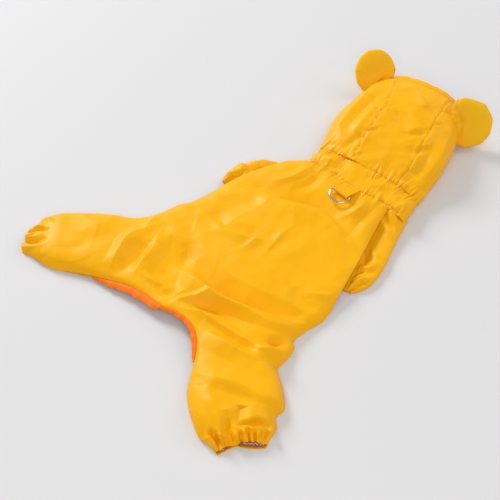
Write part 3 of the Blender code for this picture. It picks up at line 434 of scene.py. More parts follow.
def crumple(points, size, height, seed):
    """Irregular relief of thin coated cloth: facets that meet in crisp lines that come and go."""
    offset = Vector((seed * 17.3, seed * -9.1, seed * 4.7))
    loose = []
    for point in points.tolist():
        spot = Vector(point) / (size * 2.2) + offset
        loose.append((*noise.noise_vector(spot), *noise.noise_vector(spot * 1.7 + offset)))
    loose = np.array(loose)
    relief = np.zeros(len(points))
    for number in range(6):
        turn, length = seed * 1.7 + number * 2.4, size * (0.7 + 0.3 * number)
        way = np.array([math.cos(turn), math.sin(turn), 0.5 * math.sin(3 * turn)])
        phase = points @ way / length + 0.9 * loose[:, number % 3] + 0.37 * number
        tent = 2 * np.abs(phase - np.round(phase)) - 0.5
        there = np.clip(0.45 + 1.5 * loose[:, (number + 3) % 6], 0, 1)
        relief += tent * there * length / size
    return height * relief


def pleat_phase(arc, pitch, seed):
    """Phase of uneven pleats along a gathered line."""
    turn = 2 * np.pi * arc / pitch
    return turn + 1.5 * np.sin(turn / 5.3 + seed) + 1.1 * np.sin(turn / 2.3 + seed * 2.7)


def pleats(phase):
    """Rounded ridges with narrow valleys between them, from -1 to 1."""
    return 2 * np.sqrt(np.sqrt(np.sin(phase / 2) ** 2 + 0.004)) - 1


def gather_relief(points, row):
    """Pleats that stand across an elastic row and die away on both sides, and its valley."""
    line, pitch, depth, reach, valley, calm, seed = row
    gap, arc, _ = nearest_on(line, points)
    phase = pleat_phase(arc + 0.25 * np.sin(arc / 19.0 + seed) * gap, pitch, seed)
    uneven = 0.58 + 0.42 * np.sin(phase / 3.1 + seed)
    strength = 1 - bell(arc - calm[0], calm[1], 3)
    reached = np.where(gap > 0, *reach) * (0.75 + 0.35 * np.sin(phase / 2.2 + 1.0))
    return (depth * strength * uneven * pleats(phase) * bell(gap, reached, 1.4)
            - valley * (0.35 + 0.65 * strength) * bell(gap, 1.7))


def tucked_row(row, reach, turn, low=4, span=4):
    """A seam allowance: the row's upper part runs on and goes under the next piece."""
    hidden = np.clip((row[:, 2] - low) / span, 0, 1)[:, None]
    return row + (heading(turn) * reach - (0, 0, TUCK)) * hidden


# ---------------------------------------------------------------- meshes
def add_mesh(name, points, faces, material, body="coat"):
    mesh = bpy.data.meshes.new(name)
    mesh.from_pydata((np.asarray(points) * MM).tolist(), [], [list(face) for face in faces])
    mesh.materials.append(material)
    mesh.shade_smooth()
    mesh.set_sharp_from_angle(angle=math.radians(58))
    obj = bpy.data.objects.new(name, mesh)
    bpy.context.scene.collection.objects.link(obj)
    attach(obj, body)
    return obj


def vertex_normals(points, faces):
    corners = points[faces]
    across = np.cross(corners[:, 2] - corners[:, 0], corners[:, -1] - corners[:, 1])
    normals = np.zeros_like(points)
    for column in faces.T:
        np.add.at(normals, column, across)
    return unit(normals)


def shell(points, faces, wall, floor):
    """Close an open surface into a thin shell with a rounded rim: its points and its faces."""
    count = len(points)
    normals = vertex_normals(points, faces)
    behind = points - normals * wall
    behind[:, 2] = np.maximum(behind[:, 2], floor)
    edges = np.stack([faces.T, np.roll(faces, -1, axis=1).T], axis=-1).reshape(-1, 2)
    rim = edges[~np.isin(edges @ (count, 1), edges @ (1, count))]
    start, end = rim.T
    outward = np.zeros_like(points)
    for corner in (start, end):
        np.add.at(outward, corner, np.cross(points[end] - points[start],
                                            normals[start] + normals[end]))
    members = np.unique(rim)
    middle = (points[members] + behind[members]) / 2 + unit(outward[members]) * wall * 0.15
    middle[:, 2] = np.maximum(middle[:, 2], floor)
    number = np.zeros(count, dtype=int)
    number[members] = 2 * count + np.arange(len(members))
    parts = [faces, faces[:, ::-1] + count,
             np.column_stack([end, start, number[start], number[end]]),
             np.column_stack([number[end], number[start], start + count, end + count])]
    return np.vstack([points, behind, middle]), [face for part in parts for face in part.tolist()]


def grid_faces(rows, columns, closed=False):
    """Quads of a grid of points stored row after row."""
    row, column = np.mgrid[:rows - 1, :columns if closed else columns - 1].reshape(2, -1)
    here, after = row * columns + column, row * columns + (column + 1) % columns
    return np.column_stack([here, after, after + columns, here + columns])


def relieved(points, faces, relief):
    """Points moved along their normals, and none of them below the surface."""
    moved = points + vertex_normals(points, faces) * relief[:, None]
    moved[:, 2] = np.maximum(moved[:, 2], 0)
    return moved


def cloth_piece(name, points, faces, material, slot="coat_cloth", wall=CLOTH, floor=0.0):
    """A shown piece of cloth that stands for the CAD node of its name."""
    obj = add_mesh(name + "_cloth", *shell(points, faces, wall, floor), material)
    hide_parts("back_panel" if name == "back" else name)
    return obj


# ---------------------------------------------------------------- materials
def new_material(name):
    material = bpy.data.materials.new(name)
    material.use_nodes = True
    return material, material.node_tree, material.node_tree.nodes["Principled BSDF"]


def connect(tree, node, inputs):
    """Set a node's inputs: a socket is linked to, anything else is the input's value."""
    for name, value in inputs.items():
        if isinstance(value, bpy.types.NodeSocket):
            tree.links.new(value, node.inputs[name])
        else:
            node.inputs[name].default_value = value


def add_node(tree, kind, inputs):
    node = tree.nodes.new("ShaderNode" + kind)
    connect(tree, node, inputs)
    return node


def tones(tree, colour, low, high, factor):
    """The colour between two shares of its brightness."""
    blend = tree.nodes.new("ShaderNodeMix")
    blend.data_type = "RGBA"
    dark, light = [(*[min(1.0, channel * share) for channel in colour], 1) for share in (low, high)]
    connect(tree, blend, {"A": dark, "B": light, "Factor": factor})
    return blend.outputs["Result"]


def cloth_material(name, colour, roughness=0.43, tone=0.10):
    """Coated plain-weave cloth: slight tone changes, a fine weave, soft crinkles and creases."""
    material, tree, shader = new_material(name)
    spot = tree.nodes.new("ShaderNodeTexCoord").outputs["Object"]
    patches = add_node(tree, "TexNoise", {"Scale": 28.0, "Detail": 3.0, "Vector": spot})
    patches = patches.outputs["Fac"]
    gloss = add_node(tree, "MapRange", {"To Min": roughness - 0.07, "To Max": roughness + 0.07,
                                        "Value": patches})
    threads = None
    for direction in ("X", "Y", "Z"):
        wave = add_node(tree, "TexWave", {"Scale": 620.0, "Vector": spot})
        wave.bands_direction = direction
        if threads is None:
            threads = wave.outputs["Fac"]
            continue
        both = add_node(tree, "Math", {0: threads, 1: wave.outputs["Fac"]})
        both.operation = "MAXIMUM"
        threads = both.outputs["Value"]
    crinkles = add_node(tree, "TexNoise", {"Scale": 95.0, "Detail": 2.0, "Roughness": 0.4,
                                           "Distortion": 0.6, "Vector": spot})
    creases = tree.nodes.new("ShaderNodeTexNoise")
    creases.noise_type = "RIDGED_MULTIFRACTAL"
    connect(tree, creases, {"Scale": 15.0, "Detail": 1.2, "Offset": 1.0, "Distortion": 0.35,
                            "Vector": spot})
    bumps = {"Strength": 0.5, "Distance": 0.03 * MM, "Height": threads}
    for strength, depth, relief in ((0.35, 0.4, crinkles), (1.0, 1.6, creases)):
        under = add_node(tree, "Bump", bumps).outputs["Normal"]
        bumps = {"Strength": strength, "Distance": depth * MM, "Height": relief.outputs["Fac"],
                 "Normal": under}
    connect(tree, shader, {
        "Sheen Weight": 0.05, "Sheen Roughness": 0.4, "Sheen Tint": (1.0, 0.62, 0.15, 1),
        "Specular IOR Level": 0.22, "Specular Tint": (1.0, 0.80, 0.45, 1),
        "Base Color": tones(tree, colour, 1 - tone, 1 + tone, patches),
        "Roughness": gloss.outputs["Result"],
        "Normal": add_node(tree, "Bump", bumps).outputs["Normal"]})
    return material


def metal_material():
    material, tree, shader = new_material("ring_nickel")
    grain = add_node(tree, "TexNoise", {"Scale": 260.0}).outputs["Fac"]
    rough = add_node(tree, "MapRange", {"To Min": 0.14, "To Max": 0.28, "Value": grain})
    connect(tree, shader, {"Metallic": 1.0, "Base Color": tones(tree, STEEL, 0.88, 1, grain),
                           "Roughness": rough.outputs["Result"]})
    return material


def plain_material(name, colour, roughness):
    material, tree, shader = new_material(name)
    connect(tree, shader, {"Base Color": (*colour, 1), "Roughness": roughness})
    return material


# ---------------------------------------------------------------- the back
def cuff_edge(name):
    """The casing seam's upper half, from the leg's right side to its left."""
    x, y, turn = CUFFS[name]
    fractions = np.sin(np.pi * (np.arange(61) / 60 - 0.5))
    sides = fractions * np.where(fractions > 0, *CUFF_REACH[name][0])
    line = np.column_stack([sides, arch(fractions, CUFF_RISE, CUFF_TOP[name])])
    return place(line, x, y, turn) + (heading(turn) * (CASING_SEAM - SEAM))


def neck_sag(offsets):
    """How far the neck seam lies back toward the tail, by the distance from the neck's middle."""
    return -bell(offsets - RING_BAR[1] + NECK_Y, 24)[:, None] * heading(NECK_TURN) * NECK_SAG


def neck_edge():
    offsets = np.linspace(NECK_RIGHT, NECK_HALF - 0.5, 91)
    line = np.column_stack([offsets, arch(offsets / NECK_HALF, SIDE_RISE, NECK_TOP)])
    return place(line, NECK_X - SEAM, NECK_Y, NECK_TURN) + neck_sag(offsets)


def neck_rows():
    """The elastic rows at both seams of the neck band, with their gathers' sizes."""
    offsets = np.linspace(-66, 66, 23)
    flat = np.column_stack([offsets, np.zeros(23)])
    return [(place(flat, NECK_X, NECK_Y, NECK_TURN) + neck_sag(offsets), *NECK_GATHERS[0]),
            (place(flat, HOOD_X, NECK_Y, HOOD_TURN), *NECK_GATHERS[1])]


def back_outline(step):
    """Closed outline of the back, anticlockwise from above."""
    neck, left_cuff, right_cuff = neck_edge(), cuff_edge("rear_left"), cuff_edge("rear_right")
    stretches = [
        neck, smooth_line([neck[-1], *FLANK_LEFT, *LEG_LEFT_OUT, left_cuff[0]], step),
        left_cuff,
        smooth_line([left_cuff[-1], *LEG_LEFT_IN, *TAIL, *LEG_RIGHT_IN, right_cuff[0]], step),
        right_cuff, smooth_line([right_cuff[-1], *LEG_RIGHT_OUT, *FLANK_RIGHT, neck[0]], step)]
    return np.vstack([stretch[:-1] for stretch in stretches])


def leg_frame(points, name):
    """Each point's side, positive on the left, and its distance past the leg's end."""
    x, y, turn = CUFFS[name]
    way = heading(turn)[:2]
    from_end = points[:, :2] - (x, y)
    return from_end @ (-way[1], way[0]), from_end @ way


def back_base(points, outline, gap):
    """Height of the back without its folds: edge height at the edge, crown inside."""
    coarse = outline[::3]
    edge = []
    for part in np.array_split(points, 8):
        weights = (((part[:, None] - coarse[:, :2]) ** 2).sum(axis=2) + 1e-6) ** -2.0
        edge.append(weights @ coarse[:, 2] / weights.sum(axis=1))
    x, y, height, reach = np.array(CROWN).T
    weights = np.exp(-((points[:, :1] - x) ** 2 + (points[:, 1:] - y) ** 2) / reach ** 2)
    crown = weights @ height / (weights.sum(axis=1) + 1e-9)
    rise = np.sqrt(1 - (1 - np.clip(gap / SHOULDER, 0, 1)) ** 2)
    for name in CUFFS:
        side, along = leg_frame(points, name)
        fraction = np.clip(side / np.where(side > 0, *CUFF_REACH[name][0]), -1, 1)
        near_end = np.clip(1 + (along - CASING_SEAM) / LEG_SLOPE, 0, 1)
        blend = (near_end * (np.abs(side) < 40) * (along < 10)) ** 2
        crown = crown * (1 - blend) + arch(fraction, CUFF_RISE, CUFF_TOP[name]) * blend
        rise = np.maximum(rise, blend ** 2)
    return np.concatenate(edge) * (1 - rise) + crown * rise


def cuff_shift(points, name):
    """Gathers that fan out from a cuff's elastic up the leg, as a move of each point."""
    turn = CUFFS[name][2]
    side, along = leg_frame(points, name)
    near = (along > -48) & (np.abs(side) < 48)
    local = np.column_stack([side, along])[near]
    relief = np.zeros(len(points))
    for rows, height, half_width in CUFF_PLEATS[name]:
        gap, arc, length = nearest_on(smooth_line(rows, 2.5), local)
        done = np.clip(arc / length, 0, 1)
        taper = np.sin(np.pi * done) ** 0.5
        if rows[0][1] > PAST_END:
            taper = np.minimum(1, 2.2 * (1 - done)) ** 0.7
        across = np.abs(gap) / (half_width * (1 + 0.5 * done))
        groove = bell(across, 1, 1.3) - 0.3 * bell(across - 2.1, 1)
        relief[near] += PLEAT_DEPTH[name] * height * taper * groove
    up_leg = np.maximum(-along, 0)
    phase = pleat_phase(side * (1 - 0.012 * up_leg) + 60, 3.4, turn)
    fine = pleats(phase) * bell(up_leg, 7.5) * (0.55 + 0.45 * np.sin(phase / 3.7)) * near
    raised = np.clip((points[:, 2] - 2.0) / 4.5, 0, 1)
    relief = (relief + FINE_PLEATS[name] * fine) * raised
    return (heading(turn) * 0.65 + (0, 0, 0.75)) * relief[:, None]


def inside_outline(points, outline):
    inside = np.zeros(len(points), dtype=bool)
    for (x0, y0), (x1, y1) in zip(outline, np.roll(outline, -1, axis=0)):
        crosses = (y0 > points[:, 1]) != (y1 > points[:, 1])
        slope = (x1 - x0) / (y1 - y0) if y1 != y0 else 0.0
        inside ^= crosses & (points[:, 0] < x0 + slope * (points[:, 1] - y0))
    return inside


def staggered_field(outline, spacing):
    """Points in rows half a space apart over an outline's box."""
    low, high = outline.min(axis=0), outline.max(axis=0)
    rows = int((high[1] - low[1]) / (spacing * 0.866)) + 1
    columns = int((high[0] - low[0]) / spacing) + 1
    row, column = np.mgrid[:rows, :columns].reshape(2, -1)
    return np.column_stack([low[0] + spacing * (column + 0.5 * (row % 2)),
                            low[1] + spacing * 0.866 * row])


def filled(outline, field, margin):
    """Triangles, facing up, over an outline and the field's points inside it, and every point's
    distance from the edge. The outline's own points come first."""
    plan = outline[:, :2]
    border = np.vstack([plan, plan[:1]])
    field = field[inside_outline(field, plan)]
    field = field[np.abs(nearest_on(border, field)[0]) > margin]
    count = len(plan)
    edges = [(i, (i + 1) % count) for i in range(count)]
    vertices, _, faces, *_ = delaunay_2d_cdt([tuple(p) for p in [*plan.tolist(), *field.tolist()]],
                                             edges, [list(range(count))], 1, 1e-5)
    corners = np.array([tuple(v) for v in vertices])
    faces = np.array([tuple(face) for face in faces])
    run = corners[faces[:, 1]] - corners[faces[:, 0]]
    rise = corners[faces[:, 2]] - corners[faces[:, 0]]
    turned = run[:, 0] * rise[:, 1] - run[:, 1] * rise[:, 0] < 0
    faces[turned] = faces[turned][:, ::-1]
    return corners, faces, np.abs(nearest_on(border, corners)[0])


def fine_zone(points):
    """Where the back has gathers, which need closer points."""
    near = np.abs(nearest_on(neck_rows()[0][0], points)[0]) < 15
    for x, y, _ in CUFFS.values():
        near |= np.linalg.norm(points - (x, y), axis=1) < 38
    return near


def inset(line, amount):
    """A plan line moved to its left, which is inward on the outline."""
    return line - rightward(np.gradient(line, axis=0))[:, :2] * amount


def thinned(points, apart):
    """The points in order, without those nearer than apart to one that is kept."""
    cells, kept = {}, []
    for number, (x, y) in enumerate(points.tolist()):
        column, row = int(x // apart), int(y // apart)
        around = [spot for i in (-1, 0, 1) for j in (-1, 0, 1)
                  for spot in cells.get((column + i, row + j), ())]
        if all((x - a) ** 2 + (y - b) ** 2 > apart ** 2 for a, b in around):
            cells.setdefault((column, row), []).append((x, y))
            kept.append(number)
    return points[kept]


def add_back(material):
    """The back, with closer points at its gathers and along its folds, whose ridges stay crisp."""
    outline = back_outline(2.0)
    plan = outline[:, :2]
    lines = [smooth_line(fold[-1], 1.4)[:, :2] for fold in BACK_FOLDS]
    beside = [inset(line, offset) for line in lines for offset in (0, 0.9, -0.9, 2.4, -2.4)]
    wide, close = staggered_field(plan, 1.7), staggered_field(plan, 1.0)
    field = thinned(np.vstack([*beside, wide[~fine_zone(wide)], close[fine_zone(close)]]), 0.8)
    corners, faces, gap = filled(outline, field, 1.0)
    height = back_base(corners, outline, gap)
    height[:len(outline)] = outline[:, 2] - EDGE_DROP * (outline[:, 2] <= FLOOR_EDGE + 0.01)
    points = np.column_stack([corners, height])
    relief = fold_relief(points, BACK_FOLDS) + crumple(points, 30.0, 0.6, 1)
    relief = relief * np.clip(gap / 14, 0, 1) ** 0.7 + gather_relief(points, neck_rows()[0])
    points = relieved(points, faces, relief)
    points += sum(cuff_shift(points, name) for name in CUFFS)
    points[:, 2] = np.maximum(points[:, 2], 1.3)
    return cloth_piece("back", *turned_edge(points, faces, len(outline)), material, floor=0.75)


def turned_edge(points, faces, count):
    """Turn the flanks' edges under, where they hang clear of the sleeves, in a soft roll."""
    border = points[:count]
    outward = rightward(np.roll(border, -1, axis=0) - np.roll(border, 1, axis=0))
    hangs = (border[:, 2] > HANG_HEIGHT) & (border[:, 0] > HANG_X[0]) & (border[:, 0] < HANG_X[1])
    for run in np.split(np.arange(count), np.flatnonzero(np.diff(hangs.astype(int))) + 1):
        if not hangs[run[0]] or len(run) < 6:
            continue
        steps = np.arange(len(run))
        ease = np.minimum(1, np.minimum(steps, steps[::-1]) / 5 + 0.25)[:, None]
        last = run
        for out, down in EDGE_ROLL:
            new = len(points) + steps
            points = np.vstack([points, border[run] + (outward[run] * out - (0, 0, down)) * ease])
            faces = np.vstack([faces, np.column_stack([last[1:], last[:-1], new[:-1]]),
                               np.column_stack([last[1:], new[:-1], new[1:]])])
            last = new
    return points, faces


# ---------------------------------------------------------------- panels underneath
def index_near(line, spot):
    return int(np.argmin(np.linalg.norm(line[:, :2] - spot[:2], axis=1)))


def edge(stretch, start, end):
    """The stretch of the outline between two plan points, moved in a little."""
    return inset(stretch[index_near(stretch, start):index_near(stretch, end) + 1, :2], 0.5)


def neck_front(y):
    """Where the under panels end at the neck band."""
    return NECK_X - 0.4 - (y - NECK_Y) * math.tan(math.radians(NECK_TURN))


def armhole(side):
    """Line from the front to the back that cuts the belly away just inside a sleeve."""
    root, cuff, reach = ARMHOLES[side]
    way = unit(np.subtract(cuff, root))
    inward = np.array([way[1], -way[0]]) * (-1 if side == "left" else 1) * reach
    start, end = root + inward - way * 6.0, cuff + inward + way * 24.0
    return [(neck_front(start[1]), start[1]), start, end]


def under_creases(points, gap):
    """Low creases where the underside lifts off the surface."""
    ridges = np.zeros(len(points))
    for height, left, right, sharp, rows in UNDER_FOLDS:
        distance, arc, length = nearest_on(smooth_line(rows, 5.0), points)
        taper = np.sin(np.pi * np.clip(arc / length, 0, 1)) ** 0.7
        ridge = bell(distance, np.where(distance > 0, left, right), sharp)
        ridges = np.maximum(ridges, height * taper * ridge)
    loose = np.array([noise.noise(Vector((x / 34, y / 22, 7.3))) for x, y in points.tolist()])
    return (ridges + 0.7 * np.clip(loose - 0.12, 0, 1)) * np.clip((gap - 1) / 7, 0, 1)


def add_under_panel(name, corners, material, lift=None, calm=None):
    corners = np.array([corner[:2] for corner in corners], dtype=float)
    outline = []
    for start, run in zip(corners, np.roll(corners, -1, axis=0) - corners):
        pieces = max(1, round(np.linalg.norm(run) / 3.0))
        outline += [start + run * t for t in np.arange(pieces) / pieces]
    outline = np.array(outline)
    points, faces, gap = filled(outline, staggered_field(outline, 2.6), 1.3)
    height = under_creases(points, gap)
    if calm:
        height *= np.clip((calm(points) - 1) / 7, 0, 1)
    if lift:
        height += lift(points)
    points = np.column_stack([points, UNDER_WALL + height])
    return cloth_piece(name, points, faces, material, wall=UNDER_WALL)


def seam_lift(points, outline):
    """How far an under panel rises, at its edge, to the seam that it shares with the back."""
    lift = np.zeros(len(points))
    for number, point in enumerate(points):
        squared = ((outline[:, :2] - point) ** 2).sum(axis=1)
        nearest = int(np.argmin(squared))
        height = outline[nearest, 2]
        joined = min(1.0, max(0.0, (9.4 - height) / 1.5)) * max(0.0, min(height, 9.0) - 2.0)
        lift[number] = joined * max(0.0, 1 - math.sqrt(squared[nearest]) / 9) ** 2
    return lift


def leg_end(name):
    """Both corners of a leg's under panel at its cuff."""
    x, y, turn = CUFFS[name]
    left, right = CUFF_REACH[name][0]
    corners = place([(0.4 - right, 0), (left - 0.4, 0)], x, y, turn)
    return corners + heading(turn) * (CASING_SEAM - SEAM)


def add_under_panels(material):
    outline = back_outline(4.0)
    first, second, third = [index_near(outline, spot)
                            for spot in (FLANK_LEFT[0], LEG_LEFT_IN[0], LEG_RIGHT_IN[-1])]
    left, rear, right = outline[first:second + 1], outline[second:third + 1], outline[third:]
    hip_left, hip_right = np.array(FLANK_LEFT[-1][:2]), np.array(LEG_RIGHT_OUT[-1][:2])
    crotch_left, crotch_right = np.array(CROTCH["left"]), np.array(CROTCH["right"])

    def leg_lift(points):
        return seam_lift(points, outline)

    def lap_lift(points):
        """The right belly half steps up on to the left one where they lap."""
        return 0.95 * np.clip((points[:, 1] + 14.0) / 3.0, 0, 1)

    add_under_panel("belly_left", [
        (neck_front(-LAP), -LAP), *armhole("left"), *edge(left, FLANK_LEFT[5], hip_left),
        crotch_left, (BELLY_END, 16), (BELLY_END, -LAP)], material,
        calm=lambda points: points[:, 1] - LAP)
    add_under_panel("belly_right", [
        (neck_front(LAP), LAP), (BELLY_END, LAP), (BELLY_END, -LAP - 4), crotch_right,
        *edge(right, hip_right, FLANK_RIGHT[0]), *armhole("right")[::-1],
        (neck_front(-LAP - 4), -LAP - 4)], material, lap_lift,
        calm=lambda points: -LAP - 5 - points[:, 1])
    add_under_panel("leg_under_left", [
        hip_left + (-0.4, 0.3), *edge(left, hip_left, LEG_LEFT_OUT[-1])[1:], *leg_end("rear_left"),
        *edge(rear, LEG_LEFT_IN[0], LEG_LEFT_IN[-1]), crotch_left + (-0.4, 0.4)],
        material, leg_lift)
    add_under_panel("leg_under_right", [
        *edge(right, LEG_RIGHT_OUT[0], hip_right)[:-1], hip_right + (-0.4, -0.3),
        crotch_right + (-0.4, -0.4), *edge(rear, LEG_RIGHT_IN[0], LEG_RIGHT_IN[-1]),
        *leg_end("rear_right")], material, leg_lift)


# ---------------------------------------------------------------- rear cuffs
def cuff_grid(name):
    """A cuff from the casing's seam to its mouth: rows of points, each a closed loop."""
    x, y, turn = CUFFS[name]
    spots, upper, lower, height_there = np.array(MOUTHS[name], dtype=float).T
    grid = []
    for share in np.linspace(0, 1, 14):
        drawn = share ** 0.8
        left, right = [(1 - drawn) * start + drawn * end for start, end in zip(*CUFF_REACH[name])]
        rise = CUFF_RISE * (1 - 0.45 * drawn)
        section = loaf((left + right) / 2, CUFF_TOP[name], rise, 110, 30)
        fraction = np.clip(2 * section[:, 0] / (left + right), -1, 1)
        side, height = fraction * np.where(fraction > 0, left, right), section[:, 1]
        over = height > rise
        lip = np.maximum(np.interp(side, spots, height_there), rise)
        drooped = height + (arch(fraction, rise * 0.8, lip, 3.0) - height) * share ** 1.1
        end = np.where(over, np.interp(side, spots, upper), np.interp(side, spots, lower))
        along = CASING_SEAM + SEAM + share * (end - CASING_SEAM)
        loop = np.column_stack([side, np.where(over, drooped, height)])
        grid.append(place(loop, x, y, turn) + along[:, None] * heading(turn))
    return [tucked_row(grid[0], -ALLOWANCE, turn, 3.5, 3), *grid]


def add_cuff(name, material, inner):
    """A cuff's casing and the elastic inside it, which stays under the pleats."""
    grid = cuff_grid(name)
    rows, columns = len(grid), len(grid[0])
    smooth, faces = np.vstack(grid), grid_faces(rows, columns, closed=True)
    normals = vertex_normals(smooth, faces)
    share = np.repeat([0, *np.linspace(0, 1, rows - 1)], columns)
    stitched = 0.35 * bell(share - 0.64, 0.07) * np.clip(normals[:, 2] * 2 + 0.3, 0, 1)
    points = smooth + cuff_shift(smooth, name) - normals * stitched[:, None]
    points[:, 2] = np.where(smooth[:, 2] > 1.5, np.maximum(points[:, 2], 1.5), smooth[:, 2])
    cloth_piece("cuff_" + name, points, faces, material)
    heights = points[:, 2].reshape(-1, columns)
    lowest = np.min([np.roll(heights, shift, axis=1) for shift in range(-5, 6)], axis=0).ravel()
    lining = smooth - normals * 1.1
    above = normals[:, 2] > -0.2
    lining[above, 2] = np.minimum(lining[above, 2], lowest[above] - CLOTH - 0.8)
    lining = lining[(share > 0.4) & (share < 0.95)]
    lining[:, 2] = np.maximum(lining[:, 2], CLOTH + 0.75)
    faces = grid_faces(len(lining) // columns, columns, closed=True)
    return cloth_piece("elastic_" + name, lining, faces, inner, slot="elastic", wall=0.6,
                       floor=CLOTH + 0.12)


# ---------------------------------------------------------------- front sleeves
def sleeve_grid(side, rows):
    """A sleeve with its cuff: rows from the root to the mouth, each a closed loop."""
    table = smooth_line(SLEEVE_ROWS[side], 1.6)
    arc = arc_of(table[:, :2])
    grid = []
    for spot in np.linspace(0, arc[-1], rows):
        row = np.array([np.interp(spot, arc, column) for column in table.T])
        outer, inner, top = row[:2], row[2:4], row[4]
        half = np.linalg.norm(outer - inner) / 2
        across = (outer - inner) / (2 * half) * (-1 if side == "left" else 1)
        section = loaf(half, top, 2.4, 54, 20)
        grid.append(np.column_stack([(outer + inner) / 2 + section[:, :1] * across, section[:, 1]]))
    return grid


def add_sleeve(side, material, rows=60):
    grid = sleeve_grid(side, rows)
    columns = len(grid[0])
    points, faces = np.vstack(grid), grid_faces(rows, columns, closed=True)
    flank = FLANK_LEFT if side == "left" else FLANK_RIGHT
    clear = -nearest_on(smooth_line(flank, 6.0), points)[0]
    up = np.clip(vertex_normals(points, faces)[:, 2] * 2, 0, 1)
    outside = np.clip((clear - 3) / 10, 0, 1)
    share = np.repeat(np.linspace(0, 1, rows), columns)
    near_mouth = bell(share - SLEEVE_SPLIT, 0.05, 1.6) + 0.8 * (share > SLEEVE_SPLIT)
    phase = pleat_phase(np.tile(np.arange(columns), rows) * 0.9, 3.6, 2.0)
    relief = fold_relief(points, SLEEVE_FOLDS, 1.8) + crumple(points, 14.0, 0.35, 5)
    relief = np.where(outside > 0, relief, np.minimum(relief, 0.3))
    relief -= SLEEVE_DIP[side] * bell(np.clip(clear, 0, None), 11)
    relief += 0.5 * pleats(phase) * np.minimum(near_mouth, 1)
    relief += SLEEVE_PUFF[side] * outside * np.sin(np.pi * np.clip(share * 1.1, 0, 1)) ** 0.6
    points = relieved(points, faces, relief * up)
    cut = int(rows * SLEEVE_SPLIT)
    seam = cut * columns
    front, rear = points[:seam + columns], points[seam:].copy()
    rear[:columns] += (rear[columns:2 * columns] - rear[:columns]) * 0.1
    cloth_piece("sleeve_" + side, front, grid_faces(cut + 1, columns, closed=True), material)
    cloth_piece("cuff_sleeve_" + side, rear, grid_faces(rows - cut, columns, closed=True), material)


# ---------------------------------------------------------------- tail binding
def add_tail_binding(material):
    """The bias tape round the tail cut-out: it goes on from the back's edge and droops a little."""
    path = smooth_line([LEG_LEFT_IN[-1], *TAIL, LEG_RIGHT_IN[0]], 1.4)
    outward = rightward(np.gradient(path[:, :2], axis=0))
    share = np.linspace(0, 1, len(path))
    width = np.interp(share, *zip(*TAPE_WIDTH))
    wave = 0.25 * np.sin(share * 61) + 0.2 * np.sin(share * 97 + 1)
    kink = 1.7 * bell(share - TAPE_KINK, 0.012)
    rows = []
    for reach in np.linspace(1, 0, 9):
        row = path + outward * (0.15 + width * reach + wave * reach ** 2 * 1.4)[:, None]
        row[:, 2] += 0.5 * np.sin(np.pi * reach) + (wave + kink) * reach - 0.1 - 2.0 * reach ** 2
        rows.append(row)
    rows.append(rows[-1] - outward * 1.6 - (0, 0, 0.9))
    points = np.vstack(rows)
    points[:, 2] = np.maximum(points[:, 2], 1.6)
    cloth_piece("tail_binding", points, grid_faces(len(rows), len(path)), material, slot="binding",
                wall=TAPE_WALL)


# ---------------------------------------------------------------- neck band and hood
def hood_rise(top):
    return SIDE_RISE + (top - NECK_TOP) * 0.3


def top_relief(points, faces, folds, seed):
    """Folds, gathers and crumples of the upper side, and how much of them each point takes: the
    underside stays flat."""
    up = np.clip(vertex_normals(points, faces)[:, 2] * 2.2, 0, 1)
    relief = fold_relief(points, folds) + crumple(points, 20.0, 0.65, seed)
    return relief + sum(gather_relief(points, row) for row in neck_rows()), up


def add_neck_band(material):
    front_turn, front_top = HOOD[0][2], HOOD[0][5]
    body_end = np.array([NECK_X + SEAM, NECK_TOP, SIDE_RISE, NECK_TURN, NECK_LEFT_END[0],
                         NECK_RIGHT_END[0]])
    hood_end = np.array([HOOD_X - SEAM, front_top, hood_rise(front_top), front_turn,
                         NECK_LEFT_END[1], NECK_RIGHT_END[1]])
    grid = []
    for share in np.linspace(0, 1, 26):
        puff = NECK_PUFF * np.sin(np.pi * share) ** 0.5
        x, top, rise, turn, left, right = body_end + share * (hood_end - body_end)
        section = loaf((left + right) / 2 + puff, top + puff, rise, 180, 40)
        section[:, 0] += (left - right) / 2
        upper = np.clip((section[:, 1] - 6) / 6, 0, 1)[:, None]
        grid.append(place(section, x, NECK_Y, turn) + neck_sag(section[:, 0]) * upper * (1 - share))
    points = np.vstack([tucked_row(grid[0], -ALLOWANCE, NECK_TURN), *grid,
                        tucked_row(grid[-1], ALLOWANCE, front_turn)])
    faces = grid_faces(28, len(grid[0]), closed=True)
    relief, up = top_relief(points, faces, NECK_FOLDS, 3)
    return cloth_piece("neck_band", relieved(points, faces, relief * up), faces, material)


def hood_top(section, offset):
    half = np.where(offset > 0, section[3], section[4])
    return np.column_stack([offset, arch(offset / half, hood_rise(section[5]), section[5])])


def hood_side_line(section, sign):
    """A side panel's section: from its seam down to the surface and in under the hood."""
    half, seam = (section[3], section[6]) if sign > 0 else (section[4], section[7])
    rise = hood_rise(section[5])
    foot = half - rise * 0.8
    seam = seam + sign * SEAM
    over = seam + (sign * half - seam) * np.sin(0.5 * np.pi * np.linspace(0, 1, 56))
    angle = np.linspace(0, np.pi / 2, 9)[1:]
    turn_in = np.column_stack([sign * (foot + (half - foot) * np.cos(angle)),
                               rise * (1 - np.sin(angle))])
    flat = np.column_stack([sign * np.linspace(foot, foot - HOOD_UNDER, 12)[1:], np.zeros(11)])
    line = np.vstack([hood_top(section, over), turn_in, flat])
    return line[::-1] if sign > 0 else line


